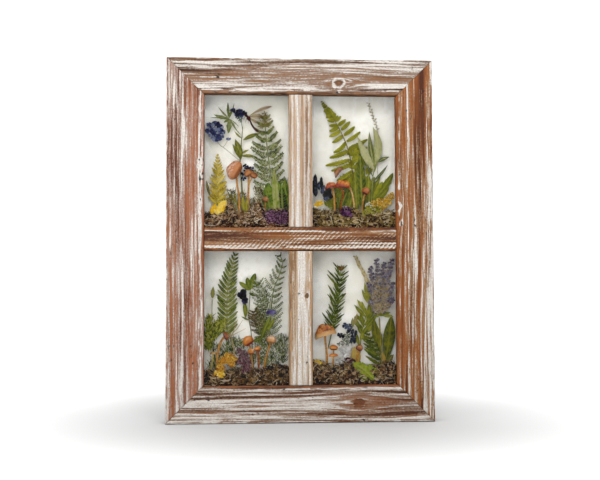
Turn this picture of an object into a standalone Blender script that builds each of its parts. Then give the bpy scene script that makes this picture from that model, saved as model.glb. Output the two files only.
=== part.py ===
"""Framed botanical resin panel: a limed wood window frame with four clear castings.

The panel stands upright on its bottom rail and faces -Y. X runs to the right and Z upwards, and
the origin is the middle of the bottom face. Plants are placed in millimetres from the lower left
corner of their pane's sight opening, and their depth is counted from the casting's front face.
"""

import math

import bmesh
import bpy
import numpy as np
from mathutils.geometry import delaunay_2d_cdt

MM = 0.001

# Frame, in millimetres: what is seen of each opening, and the members round it.
SIGHT_WIDTH = 89.0
SIGHT_HEIGHT = 141.0
STILE_WIDTH = 40.0
RAIL_WIDTH = 39.0
BAR_WIDTH = 25.0
FRAME_DEPTH = 32.0
LIP_DEPTH = 8.0
REBATE = 6.5
WORN_EDGE = 0.9
GAP = 0.3

# The neck that joins an inner bar's front strip to its web: how deep it goes into both, and how
# far its ends stand back.
NECK_BITE = 2.0
NECK_INSET = 1.0

PANEL_WIDTH = 2 * STILE_WIDTH + 2 * SIGHT_WIDTH + BAR_WIDTH
PANEL_HEIGHT = 2 * RAIL_WIDTH + 2 * SIGHT_HEIGHT + BAR_WIDTH

# Clear castings and the backing board behind them.
CASTING_DEPTH = 16.0
CASTING_FRONT = LIP_DEPTH + GAP
POCKET_MARGIN = 3.5
POCKET_FRONT = 1.4
POCKET_BACK = 14.6
PARTING = 8.0
BACKING_THICKNESS = 3.0
BACKING_FRONT = CASTING_FRONT + CASTING_DEPTH + GAP

# Depth of each layer of plants inside a casting, from the casting's front face.
IN_FRONT = 1.8
BED = 3.8
BED_BACK = 7.3
STEMS = 7.6
LAYER = (9.8, 10.7, 11.6, 12.5, 13.4)
LEAF_THICKNESS = 0.5
STEM_DEPTH = 8.55

# The moss beds: where they end, how many cuts they have, how far their front swells, and how far
# the top stands back and drops.
BED_FOOT = -3.0
BED_CUTS = 17
BED_SWELL = 0.9
BED_SHOULDER = 0.8
BED_CREST = 2.1
BED_DROP = 1.2

# How far a frond's teeth start outside its stalk, and how near two outline points may lie.
FROND_WEB = 0.35
MERGE = 0.03

# Share of the cap's height above its middle, and of its radius, from the stem's top to the crown.
CAP_PROFILE = ((-0.36, 0.95), (-0.20, 1.0), (0.14, 0.86), (0.38, 0.52), (0.48, 0.16))

LEFT_X = -PANEL_WIDTH / 2 + STILE_WIDTH
RIGHT_X = BAR_WIDTH / 2
LOWER_Z = RAIL_WIDTH
UPPER_Z = PANEL_HEIGHT / 2 + BAR_WIDTH / 2
CORNER = {
    "ul": (LEFT_X, UPPER_Z),
    "ur": (RIGHT_X, UPPER_Z),
    "ll": (LEFT_X, LOWER_Z),
    "lr": (RIGHT_X, LOWER_Z),
}

# Colour, roughness of every finish.
FINISH = {
    "limed_wood": ((0.45, 0.34, 0.27), 0.75),
    "backing": ((0.80, 0.78, 0.70), 0.70),
    "resin": ((0.93, 0.94, 0.90), 0.08),
    "moss": ((0.13, 0.09, 0.05), 0.95),
    "fern_green": ((0.24, 0.27, 0.06), 0.70),
    "dark_green": ((0.10, 0.14, 0.04), 0.70),
    "grey_green": ((0.22, 0.24, 0.13), 0.80),
    "yellow_leaf": ((0.50, 0.38, 0.09), 0.70),
    "blue_petal": ((0.04, 0.05, 0.13), 0.65),
    "purple_petal": ((0.13, 0.05, 0.12), 0.70),
    "golden_petal": ((0.60, 0.33, 0.05), 0.70),
    "straw": ((0.50, 0.42, 0.27), 0.75),
    "mushroom": ((0.48, 0.20, 0.07), 0.60),
    "pale_mushroom": ((0.62, 0.42, 0.24), 0.60),
    "insect": ((0.10, 0.05, 0.03), 0.45),
}


def clear_scene():
    """Removes every object that the file starts with."""
    for item in list(bpy.data.objects):
        bpy.data.objects.remove(item, do_unlink=True)


def finish(name):
    """Returns the material of one finish, made on first use."""
    if name in bpy.data.materials:
        return bpy.data.materials[name]
    colour, roughness = FINISH[name]
    material = bpy.data.materials.new(name)
    material.use_nodes = True
    shader = material.node_tree.nodes["Principled BSDF"]
    shader.inputs["Base Color"].default_value = (*colour, 1.0)
    shader.inputs["Roughness"].default_value = roughness
    material.diffuse_color = (*colour, 1.0)
    return material


def solid(name, bm, finish_name):
    """Turns a closed bmesh in millimetres into a named object in metres."""
    bmesh.ops.scale(bm, vec=(MM, MM, MM), verts=bm.verts)
    bmesh.ops.recalc_face_normals(bm, faces=bm.faces)
    mesh = bpy.data.meshes.new(name)
    bm.to_mesh(mesh)
    bm.free()
    mesh.materials.append(finish(finish_name))
    item = bpy.data.objects.new(name, mesh)
    bpy.context.scene.collection.objects.link(item)
    return item


def body_of_rings(name, rings, finish_name):
    """A closed body in millimetres: walls between rings of equal count, and a cap at both ends."""
    bm = bmesh.new()
    made = [[bm.verts.new(point) for point in ring] for ring in rings]
    bm.faces.new(made[0])
    bm.faces.new(made[-1])
    for first, second in zip(made, made[1:]):
        for k in range(len(first)):
            n = (k + 1) % len(first)
            bm.faces.new((first[k], first[n], second[n], second[k]))
    return solid(name, bm, finish_name)


def fuse(item, others):
    """Joins other solids to one with Boolean unions, so that all are one closed body."""
    for other in others:
        union = item.modifiers.new("fused", "BOOLEAN")
        union.operation = "UNION"
        union.solver = "EXACT"
        union.object = other
        other.hide_render = True
        other.display_type = "WIRE"
    return item


def world_y(depth):
    """Y of a depth behind the panel's front face."""
    return depth - FRAME_DEPTH / 2


def box(name, low, high, finish_name):
    """A plain block between two corners, each given as x, depth behind the face, z."""
    bm = bmesh.new()
    bmesh.ops.create_cube(bm, size=1.0)
    size = [b - a for a, b in zip(low, high)]
    middle = [(a + b) / 2 for a, b in zip(low, high)]
    bmesh.ops.scale(bm, vec=size, verts=bm.verts)
    bmesh.ops.translate(bm, vec=(middle[0], world_y(middle[1]), middle[2]), verts=bm.verts)
    return solid(name, bm, finish_name)


# Wood


def member_profile(width):
    """Section of an outer member, as (distance in from the outer edge, depth), front face first."""
    e = WORN_EDGE
    inner = width - REBATE
    return [
        (e, 0.0), (width - e, 0.0), (width, e), (width, LIP_DEPTH),
        (inner, LIP_DEPTH), (inner, FRAME_DEPTH - e), (inner - e, FRAME_DEPTH),
        (e, FRAME_DEPTH), (0.0, FRAME_DEPTH - e), (0.0, e),
    ]


def mitred_member(name, length, width, side):
    """A member whose ends are cut at 45 degrees, lying on one side of the frame.

    The ends of every edge draw in by its distance from the outer edge, less half a joint gap.
    """
    rings = []
    for end in (-1, 1):
        ring = []
        for inward, depth in member_profile(width):
            along = end * (length / 2 - inward - GAP / 2)
            if side in ("top", "bottom"):
                z = PANEL_HEIGHT - inward if side == "top" else inward
                ring.append((along, world_y(depth), z))
            else:
                x = PANEL_WIDTH / 2 - inward
                ring.append((x if side == "right" else -x, world_y(depth), PANEL_HEIGHT / 2 + along))
        rings.append(ring)
    return body_of_rings(name, rings, "limed_wood")


def worn_bar(name, low, high, long_axis):
    """The front face strip of an inner bar, with its two long front edges worn off."""
    e = WORN_EDGE
    section = [
        (0.0, high[1]), (0.0, low[1] + e), (e, low[1]),
        (BAR_WIDTH - e, low[1]), (BAR_WIDTH, low[1] + e), (BAR_WIDTH, high[1]),
    ]
    rings = []
    for along in (low[0], high[0]) if long_axis == "x" else (low[2], high[2]):
        if long_axis == "x":
            rings.append([(along, world_y(depth), low[2] + across) for across, depth in section])
        else:
            rings.append([(low[0] + across, world_y(depth), along) for across, depth in section])
    return body_of_rings(name, rings, "limed_wood")


def inner_bar(name, start, end, centre, long_axis):
    """An inner bar: a strip flush with the face, and a web behind it that parts the castings.

    The web runs on past the strip's ends, behind the lips that it meets.
    """

    def corner(along, depth, across):
        if long_axis == "x":
            return (along, depth, centre + across)
        return (centre + across, depth, along)

    half = BAR_WIDTH / 2
    web = half - REBATE
    reach = REBATE - GAP
    strip = worn_bar(name, corner(start, 0, -half), corner(end, LIP_DEPTH, half), long_axis)
    neck = box(name + "_neck", corner(start + NECK_INSET, LIP_DEPTH - NECK_BITE, -web),
               corner(end - NECK_INSET, LIP_DEPTH + NECK_BITE, web), "limed_wood")
    rear = box(name + "_web", corner(start - reach, CASTING_FRONT, -web),
               corner(end + reach, BACKING_FRONT - GAP, web), "limed_wood")
    return fuse(strip, (neck, rear))


def build_frame():
    """Four mitred members, the through cross bar and the two mullions."""
    mitred_member("top_rail", PANEL_WIDTH, RAIL_WIDTH, "top")
    mitred_member("bottom_rail", PANEL_WIDTH, RAIL_WIDTH, "bottom")
    mitred_member("left_stile", PANEL_HEIGHT, STILE_WIDTH, "left")
    mitred_member("right_stile", PANEL_HEIGHT, STILE_WIDTH, "right")
    middle = PANEL_HEIGHT / 2
    side = PANEL_WIDTH / 2 - STILE_WIDTH - GAP
    inner_bar("cross_bar", -side, side, middle, "x")
    inner_bar("lower_mullion", RAIL_WIDTH + GAP, LOWER_Z + SIGHT_HEIGHT - GAP, 0.0, "z")
    inner_bar("upper_mullion", UPPER_Z + GAP, PANEL_HEIGHT - RAIL_WIDTH - GAP, 0.0, "z")


def build_backing():
    """One board behind all four castings, held in the frame's rebate."""
    side = PANEL_WIDTH / 2 - STILE_WIDTH + REBATE - GAP
    foot = RAIL_WIDTH - REBATE + GAP
    low = (-side, BACKING_FRONT, foot)
    high = (side, BACKING_FRONT + BACKING_THICKNESS, PANEL_HEIGHT - foot)
    box("backing_board", low, high, "backing")


# Castings


def tray(name, pane, face, rim, pocket):
    """Half a casting: a block from its face to its rim, hollowed from the rim to the pocket's end."""
    x, z = CORNER[pane]

    def ring(margin, depth):
        y = world_y(CASTING_FRONT + depth)
        left, right = x - margin, x + SIGHT_WIDTH + margin
        low, high = z - margin, z + SIGHT_HEIGHT + margin
        return [(left, y, low), (right, y, low), (right, y, high), (left, y, high)]

    outer = REBATE - GAP
    rings = [ring(outer, face), ring(outer, rim), ring(POCKET_MARGIN, rim), ring(POCKET_MARGIN, pocket)]
    return body_of_rings(name, rings, "resin")


def build_castings():
    """Each casting in two halves, which meet round the pocket that holds its plants."""
    for pane in CORNER:
        tray(f"{pane}_casting_front", pane, 0.0, PARTING - GAP / 2, POCKET_FRONT)
        tray(f"{pane}_casting_back", pane, CASTING_DEPTH, PARTING + GAP / 2, POCKET_BACK)


# Outlines, as lists of (x, z) in millimetres from the pane's corner


def along_points(points, shares):
    """Points at the given shares of the length of a smooth curve through the points."""
    p = np.array(points, dtype=float)
    if len(p) < 3:
        dense = p
    else:
        ends = np.vstack((2 * p[0] - p[1], p, 2 * p[-1] - p[-2]))
        steps = np.linspace(0, 1, 9)[:-1, None]
        pieces = []
        for a, b, c, d in zip(ends, ends[1:], ends[2:], ends[3:]):
            pieces.append(0.5 * (2 * b + (c - a) * steps + (2 * a - 5 * b + 4 * c - d) * steps**2
                                 + (3 * b - a - 3 * c + d) * steps**3))
        dense = np.vstack((*pieces, p[-1:]))
    run = np.concatenate(([0.0], np.cumsum(np.linalg.norm(np.diff(dense, axis=0), axis=1))))
    target = np.asarray(shares) * run[-1]
    return np.stack((np.interp(target, run, dense[:, 0]), np.interp(target, run, dense[:, 1])), axis=1)


def strip(points, start_width, end_width, cuts=5):
    """A stem's outline: a curve's points moved to both sides by a width that tapers."""
    shares = np.linspace(0, 1, cuts)
    p = along_points(points, shares)
    t = np.gradient(p, axis=0)
    normal = np.stack((-t[:, 1], t[:, 0]), axis=1) / np.linalg.norm(t, axis=1)[:, None]
    half = (start_width + (end_width - start_width) * shares)[:, None] / 2
    return [tuple(q) for q in np.vstack((p + normal * half, (p - normal * half)[::-1]))]


def leaf(base, tip, width, bend=0.0, cuts=3, fullest=0.45):
    """A leaf's outline: a line from base to tip, bowed sideways by bend, with a swelling width.

    The half width is a sine of the share along the leaf, raised so that it peaks at fullest.
    """
    base, tip = np.array(base, float), np.array(tip, float)
    side = np.array((-(tip - base)[1], (tip - base)[0]))
    side /= np.linalg.norm(side)
    shares = np.linspace(0, 1, cuts + 2)
    bow = np.sin(math.pi * shares)[:, None] * bend * side
    middle = base + (tip - base) * shares[:, None] + bow
    power = math.log(0.5) / math.log(fullest)
    half = (np.sin(math.pi * shares**power) * width / 2)[:, None]
    left, right = middle + side * half, middle - side * half
    return [tuple(q) for q in np.vstack((middle[:1], right[1:-1], middle[-1:], left[1:-1][::-1]))]


def blossom(x, z, radius, petals=4, notch=0.25, turn=0.0):
    """A flower's outline: a circle whose radius dips by notch between its petals."""
    angles = np.arange(2 * petals) * math.pi / petals + turn
    reach = radius * np.where(np.arange(2 * petals) % 2, 1 - notch, 1.0)
    return [(x + r * math.cos(a), z + r * math.sin(a)) for r, a in zip(reach, angles)]


def frond(spine, pairs, left, right, lean, start=0.2, notch=0.0, stem=(1.6, 0.7), cuts=9):
    """A fern's outlines: its stalk, and one saw-toothed outline for its pairs of leaflets.

    A leaflet is a tooth that rises from the stalk. Its reach follows left or right, which are
    lengths at even steps from the base to the tip, and lean is its angle in degrees to the stalk,
    at the base and at the tip. notch is the share of bare stalk between two leaflets, and cuts the
    number of points along the stalk.
    """
    shares = start + (1 - start) * np.arange(pairs) / pairs
    step = (1 - start) / pairs
    outline = []
    for side, reaches in ((-1, right), (1, left)):
        edge = []
        for share in shares:
            foot, next_foot = along_points(spine, (share, min(share + step * (1 - notch), 1.0)))
            heading = math.atan2(*(next_foot - foot)[::-1])
            thick = (stem[0] + (stem[1] - stem[0]) * share) / 2 + FROND_WEB
            out = side * thick * np.array((-math.sin(heading), math.cos(heading)))
            reach = np.interp(share, np.linspace(0, 1, len(reaches)), reaches)
            tilt = heading + side * math.radians(lean[0] + (lean[1] - lean[0]) * share)
            edge.append(foot + out)
            edge.append(foot + out + reach * np.array((math.cos(tilt), math.sin(tilt))))
            if notch:
                edge.append(next_foot + out)
        outline += edge if side < 0 else edge[::-1]
        if side < 0:
            outline.append(np.array(spine[-1], dtype=float))
    return [strip(spine, *stem, cuts=cuts), [tuple(point) for point in outline]]


# Solids of the plants


def flat_solid(name, pane, outlines, depth, finish_name, thickness=LEAF_THICKNESS):
    """One pressed piece: the union of its outlines, carried through its thickness.

    The outlines are joined by a constrained triangulation that keeps what any of them covers.
    """
    points, loops = [], []
    for outline in outlines:
        loop = list(range(len(points), len(points) + len(outline)))
        area = sum(a[0] * b[1] - b[0] * a[1] for a, b in zip(outline, outline[1:] + outline[:1]))
        points.extend(outline)
        loops.append(loop if area > 0 else loop[::-1])
    found = delaunay_2d_cdt(points, [], loops, 0, MERGE, True)
    verts, faces, covered = found[0], found[2], found[5]
    bm = bmesh.new()
    x0, z0 = CORNER[pane]
    y = world_y(CASTING_FRONT + depth)
    made = [bm.verts.new((x0 + v[0], y, z0 + v[1])) for v in verts]
    for face, owners in zip(faces, covered):
        if owners:
            bm.faces.new([made[k] for k in face])
    bmesh.ops.delete(bm, geom=[v for v in bm.verts if not v.link_faces], context="VERTS")
    bmesh.ops.dissolve_limit(bm, angle_limit=math.radians(2), verts=bm.verts, edges=bm.edges)
    grown = bmesh.ops.extrude_face_region(bm, geom=bm.faces[:], use_keep_orig=True)
    lifted = [v for v in grown["geom"] if isinstance(v, bmesh.types.BMVert)]
    bmesh.ops.translate(bm, vec=(0, thickness, 0), verts=lifted)
    return solid(name, bm, finish_name)


def loft(name, pane, stations, finish_name, sides=6):
    """A closed body through oval rings.

    A station is (x, z, depth, heading, half width, half depth); a ring stands square to its
    heading, an angle in the pane's plane.
    """
    x0, z0 = CORNER[pane]
    rings = []
    for x, z, depth, heading, half_width, half_depth in stations:
        ring = []
        for a in np.arange(sides) * 2 * math.pi / sides:
            across = half_width * math.cos(a)
            ring.append((x0 + x - across * math.sin(heading),
                         world_y(CASTING_FRONT + depth + half_depth * math.sin(a)),
                         z0 + z + across * math.cos(heading)))
        rings.append(ring)
    return body_of_rings(name, rings, finish_name)


def mushroom(name, pane, stem, stem_radius, cap, radius, height, lean=90.0, finish_name="mushroom",
             cap_depth=None, cuts=4):
    """A mushroom: a stem that tapers upwards and a domed cap, one closed body.

    stem lists points from its foot upwards, cap is the cap's middle and lean its axis in degrees.
    cap_depth is half the cap's thickness from front to back, as it was pressed.
    """
    deep = cap_depth if cap_depth else 0.5 * radius
    axis = math.radians(lean)
    middle = STEM_DEPTH + 0.9 - deep
    under = (cap[0] - 0.12 * height * math.cos(axis), cap[1] - 0.12 * height * math.sin(axis))
    points = along_points([*stem, under], np.linspace(0, 1, cuts))
    stations = []
    for k, (x, z) in enumerate(points):
        nearer, further = points[max(k - 1, 0)], points[min(k + 1, len(points) - 1)]
        heading = math.atan2(further[1] - nearer[1], further[0] - nearer[0])
        if k == len(points) - 1:
            heading = axis
        share = k / (cuts - 1)
        thick = stem_radius * (1.15 - 0.25 * share)
        depth = STEM_DEPTH + (middle - STEM_DEPTH) * share**3
        stations.append((x, z, depth, heading, thick, min(thick, 0.9)))
    for rise, spread in CAP_PROFILE:
        x = cap[0] + rise * height * math.cos(axis)
        z = cap[1] + rise * height * math.sin(axis)
        stations.append((x, z, middle, axis, radius * spread, deep * spread))
    return loft(name, pane, stations, finish_name)


def moss_bed(pane, ridge):
    """The bed of moss and litter at the foot of a pane, a lumpy heap along its width.

    ridge lists the points of its top, which is eased between them. The front swells and draws in
    as sines cross it.
    """
    low, high = ridge[0][0], ridge[-1][0]
    xs = np.linspace(low, high, BED_CUTS)
    order = np.arange(len(ridge))
    place = np.interp(xs, [p[0] for p in ridge], order)
    past = place - np.floor(place)
    tops = np.interp(np.floor(place) + past**2 * (3 - 2 * past), order, [p[1] for p in ridge])
    tops += 1.1 * np.sin(1.9 * xs) + 0.7 * np.sin(3.1 * xs + 1.0)
    x0, z0 = CORNER[pane]
    rings = []
    for k, (x, top) in enumerate(zip(xs, tops)):
        swell = [BED + BED_SWELL * (1 + math.sin(1.3 * k + 2.1 * row)) / 2 for row in range(4)]
        section = [
            (swell[0], BED_FOOT), (swell[1], 0.35 * top), (swell[2], 0.7 * top),
            (swell[3] + BED_SHOULDER, top - BED_DROP), (BED + BED_CREST, top),
            (BED_BACK, top - BED_DROP), (BED_BACK, BED_FOOT),
        ]
        rings.append([(x0 + x, world_y(CASTING_FRONT + d), z0 + z) for d, z in section])
    return body_of_rings(f"{pane}_moss_bed", rings, "moss")


def plant_upper_left():
    """Larkspur, two leafy stems, an insect, a grey spray, a yellow fern, blades and two mushrooms."""
    pane = "ul"
    moss_bed(pane, [(-3, 14), (16, 14), (26, 27), (34, 15), (46, 15), (56, 27), (66, 17), (92, 17)])
    petals = [(5.6, 109.6), (11.6, 111.4), (18.0, 109.0), (9.9, 104.1), (16.0, 102.0), (20.5, 97.8),
              (12.0, 96.4), (5.2, 102.4)]
    larkspur = [blossom(x, z, 4.9, turn=0.5 * k) for k, (x, z) in enumerate(petals)]
    larkspur.append(strip([(12, 98), (14.7, 90.3), (22.6, 83.9), (29.0, 78.6), (37.5, 71.5)], 0.9, 0.7))
    larkspur.append(blossom(24.8, 94.7, 2.6))
    larkspur.append(strip([(24.8, 94.0), (19.5, 86.6)], 0.7, 0.7, cuts=2))
    flat_solid("ul_larkspur", pane, larkspur, LAYER[0], "blue_petal", thickness=0.6)

    heart = (25.8, 117.2)
    sprig = [leaf(heart, tip, width, bend, cuts=2) for tip, width, bend in (
        ((14.6, 128.9), 2.2, 0.5), ((24.7, 132.2), 3.2, 0.4), ((31.1, 131.2), 2.6, -0.6),
        ((9.9, 119.8), 4.2, 0.8), ((6.2, 115.0), 1.8, -0.3), ((24.9, 99.6), 6.2, 0.5),
        ((33.2, 104.5), 2.2, 0.6))]
    sprig.append(blossom(*heart, 2.2))
    sprig.append(strip([heart, (31, 108.5), (38.4, 99.5)], 1.6, 1.0, cuts=3))
    flat_solid("ul_palmate_sprig", pane, sprig, LAYER[1], "fern_green")

    stem = [(42.0, 8.0), (39.5, 45.0), (37.6, 71.2), (40.5, 88.4), (40.4, 101.0), (41.0, 113.0)]
    leafy = [strip(stem, 1.8, 0.9, cuts=9)]
    leafy += [leaf(base, tip, width, bend) for base, tip, width, bend in (
        ((38.0, 76.0), (32.0, 95.5), 7.4, -0.8), ((40.6, 91.5), (59.0, 100.8), 4.6, 1.4),
        ((38.2, 74.5), (54.4, 75.6), 3.6, 0.8), ((39.0, 79.5), (47.6, 84.0), 2.4, 0.4))]
    flat_solid("ul_leafy_stem", pane, leafy, LAYER[2], "fern_green")

    florets = [(30.0, 126.4), (34.3, 123.9), (38.0, 124.8), (41.4, 123.2), (36.4, 118.6), (39.6, 118.0)]
    dark = [blossom(x, z, 3.4, turn=0.7 * k) for k, (x, z) in enumerate(florets)]
    dark.append(strip([(38.5, 120.0), (39.6, 109.0), (40.2, 104.0)], 1.0, 0.7))
    flat_solid("ul_dark_blossom", pane, dark, STEMS + 0.4, "blue_petal", thickness=1.2)
    winged_insect(pane)

    spine = [(74.5, 8.0), (71.6, 45.7), (67.9, 72.5), (66.3, 88.6), (65.2, 104.7), (64.0, 121.0)]
    spray = frond(spine, 13, (13, 17, 19, 19, 17, 8, 7), (9, 12, 16, 17, 15, 8, 6), (62, 48), start=0.22)
    flat_solid("ul_feathery_spray", pane, spray, LAYER[1], "grey_green")
    spine = [(14.8, 10.0), (14.6, 30.0), (14.0, 55.0), (13.7, 79.6)]
    fern = frond(spine, 14, (9, 11, 10, 7, 5, 2), (9, 12, 11, 8, 5, 2), (62, 48))
    flat_solid("ul_yellow_fern", pane, fern, LAYER[0], "yellow_leaf")

    mushroom("ul_large_mushroom", pane, [(35.9, 8.0), (36.5, 29.5), (35.4, 42.0)], 1.1,
             (31.9, 60.5), 12.0, 15.5, lean=142, cap_depth=3.2)
    mushroom("ul_slender_mushroom", pane, [(45.0, 8.0), (46.0, 36.0)], 1.1, (47.6, 57.0), 6.4, 8.0,
             lean=96, cap_depth=2.8)
    blades = [leaf(base, tip, width, bend, cuts=5) for base, tip, width, bend in (
        ((68.5, 8.0), (67.0, 50.0), 8.0, 0.6), ((74.0, 8.0), (73.8, 64.0), 10.5, -0.4),
        ((79.0, 8.0), (78.5, 57.5), 9.0, -0.5), ((84.0, 8.0), (87.2, 62.0), 9.0, -0.8))]
    flat_solid("ul_broad_blades", pane, blades, LAYER[0], "dark_green")
    heads = [(66, 15), (71, 17.5), (76, 14), (81, 17), (86, 13), (70, 10), (79, 9), (85, 18.5)]
    statice = [blossom(x, z, 4.4, turn=0.4 * k) for k, (x, z) in enumerate(heads)]
    flat_solid("ul_statice", pane, statice, IN_FRONT, "purple_petal", thickness=1.6)


def winged_insect(pane):
    """A thread-waisted insect seen from its side, with two pairs of narrow wings and six legs."""
    depth = 6.2
    abdomen = [(45.0, 119.5), (48.1, 114.8), (50.3, 109.9), (53.5, 105.6), (57.7, 102.4)]
    path = along_points([(42.2, 121.2), *abdomen], (0, 0.06, 0.14, 0.24, 0.32, 0.40, 0.60, 0.80, 0.93, 1))
    widths = (0.5, 1.4, 1.1, 2.3, 1.6, 0.5, 0.6, 0.8, 1.3, 0.4)
    ahead = np.gradient(path, axis=0)
    stations = [(x, z, depth, math.atan2(dz, dx), w, 0.7 * w)
                for (x, z), (dx, dz), w in zip(path, ahead, widths)]
    body = loft("ul_winged_insect", pane, stations, "insect")
    root = (45.6, 118.6)
    wings = [leaf(root, (71.4, 129.6), 3.4, 0.5, cuts=5, fullest=0.6),
             leaf(root, (58.6, 121.2), 3.4, 0.3, fullest=0.6),
             leaf(root, (56.4, 113.6), 3.0, 0.2, fullest=0.6)]
    legs = [strip([root, knee, foot], 0.7, 0.5, cuts=3) for knee, foot in (
        ((43.0, 118.6), (41.2, 115.4)), ((44.2, 116.2), (43.4, 112.4)), ((46.6, 115.4), (46.0, 111.4)))]
    spread = flat_solid("ul_insect_wings", pane, wings + legs, depth - 0.3, "insect", thickness=0.45)
    return fuse(body, (spread,))


def plant_upper_right():
    """A large fern frond, lance leaves, a grass spike, blades and a tuft of flat mushrooms."""
    pane = "ur"
    moss_bed(pane, [(-3, 19), (10, 17), (20, 16), (30, 15), (43, 19), (54, 15), (70, 17), (80, 15),
                    (92, 17)])
    spine = [(46.0, 34.0), (45.5, 59.1), (43.5, 73.1), (39.7, 87.1), (32.8, 98.9), (25.3, 110.7),
             (17.8, 122.5), (10.3, 135.4)]
    fern = frond(spine, 16, (18, 29, 24, 17, 15, 11, 7, 1), (14, 17, 18, 20, 17, 13, 8, 1), (80, 72),
                 start=0.17, notch=0.2)
    flat_solid("ur_fern_frond", pane, fern, LAYER[2], "fern_green")
    stalk = [(70.0, 8.0), (71.7, 60.0), (72.0, 99.2), (71.0, 112.0), (66.5, 124.1), (62.2, 134.9)]
    grass = [strip(stalk, 1.2, 0.6, cuts=9)]
    for k, (x, z) in enumerate(along_points(stalk, np.linspace(0.72, 0.98, 7))):
        side = 1 if k % 2 else -1
        grass.append(leaf((x - side * 0.8, z - 1.4), (x + side * 2.2, z + 3.2), 2.2, cuts=1))
    flat_solid("ur_grass_spike", pane, grass, LAYER[4], "straw")
    lances = [strip([(64.0, 8.0), (66.0, 51.6), (68.6, 66.0), (70.0, 72.0)], 1.6, 1.2)]
    lances += [leaf(base, tip, width, bend, cuts=5) for base, tip, width, bend in (
        ((68.0, 62.5), (49.0, 97.3), 6.6, 1.4), ((68.6, 64.5), (61.0, 105.0), 4.6, 1.2),
        ((69.6, 68.0), (66.8, 109.5), 7.0, -3.4), ((69.2, 67.0), (83.8, 76.4), 3.8, 0.6),
        ((66.2, 52.5), (81.6, 67.5), 3.2, -1.4))]
    flat_solid("ur_lance_leaves", pane, lances, LAYER[0], "fern_green")
    blades = [leaf(base, tip, width, bend, cuts=5) for base, tip, width, bend in (
        ((55.0, 8.0), (53.6, 82.0), 13.0, 0.6), ((61.5, 8.0), (61.4, 66.0), 8.0, -0.8),
        ((50.0, 8.0), (48.6, 56.0), 7.0, 0.4))]
    flat_solid("ur_broad_blades", pane, blades, LAYER[1], "dark_green")
    fern = frond([(60.5, 24.0), (66.0, 35.0), (76.0, 46.5), (87.0, 58.6)], 9, (10, 17, 15, 10, 2),
                 (6, 10, 12, 8, 2), (44, 34), start=0.1, notch=0.1)
    flat_solid("ur_fern_leaf", pane, fern, LAYER[3], "fern_green")

    tuft = mushroom("ur_mushroom_tuft", pane, [(25.4, 8.0), (24.9, 24.6), (23.9, 38.0)], 1.1, (19.4, 45.2),
                    7.4, 6.0, lean=100, cap_depth=2.8)
    second = mushroom("ur_tuft_second", pane, [(47.0, 8.0), (44.4, 33.0), (41.6, 41.5)], 0.9, (33.4, 46.4),
                      7.9, 8.6, lean=86, cap_depth=3.0)
    third = mushroom("ur_tuft_third", pane, [(29.5, 8.0), (30.9, 23.5)], 0.9, (32.2, 43.0), 3.6, 5.0,
                     cap_depth=1.9)
    fuse(tuft, (second, third))
    mushroom("ur_round_mushroom", pane, [(54.3, 8.0), (54.6, 26.0)], 0.9, (57.4, 39.6), 4.2, 6.6, lean=62)
    mushroom("ur_curled_cap", pane, [(28.9, 54.4), (28.6, 55.6)], 0.8, (27.4, 60.4), 5.6, 6.8, lean=128,
             finish_name="pale_mushroom", cap_depth=1.8)
    heads = [(64, 19), (68.5, 22), (73.5, 24.5), (78.5, 28), (83.5, 32), (87, 35), (74.5, 18.5)]
    yarrow = [blossom(x, z, 4.3, petals=3, turn=0.5 * k) for k, (x, z) in enumerate(heads)]
    yarrow.append(strip([(74, 21), (72, 8)], 1.2, 1.2, cuts=2))
    flat_solid("ur_yarrow", pane, yarrow, STEMS + 0.3, "golden_petal", thickness=1.3)


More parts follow.
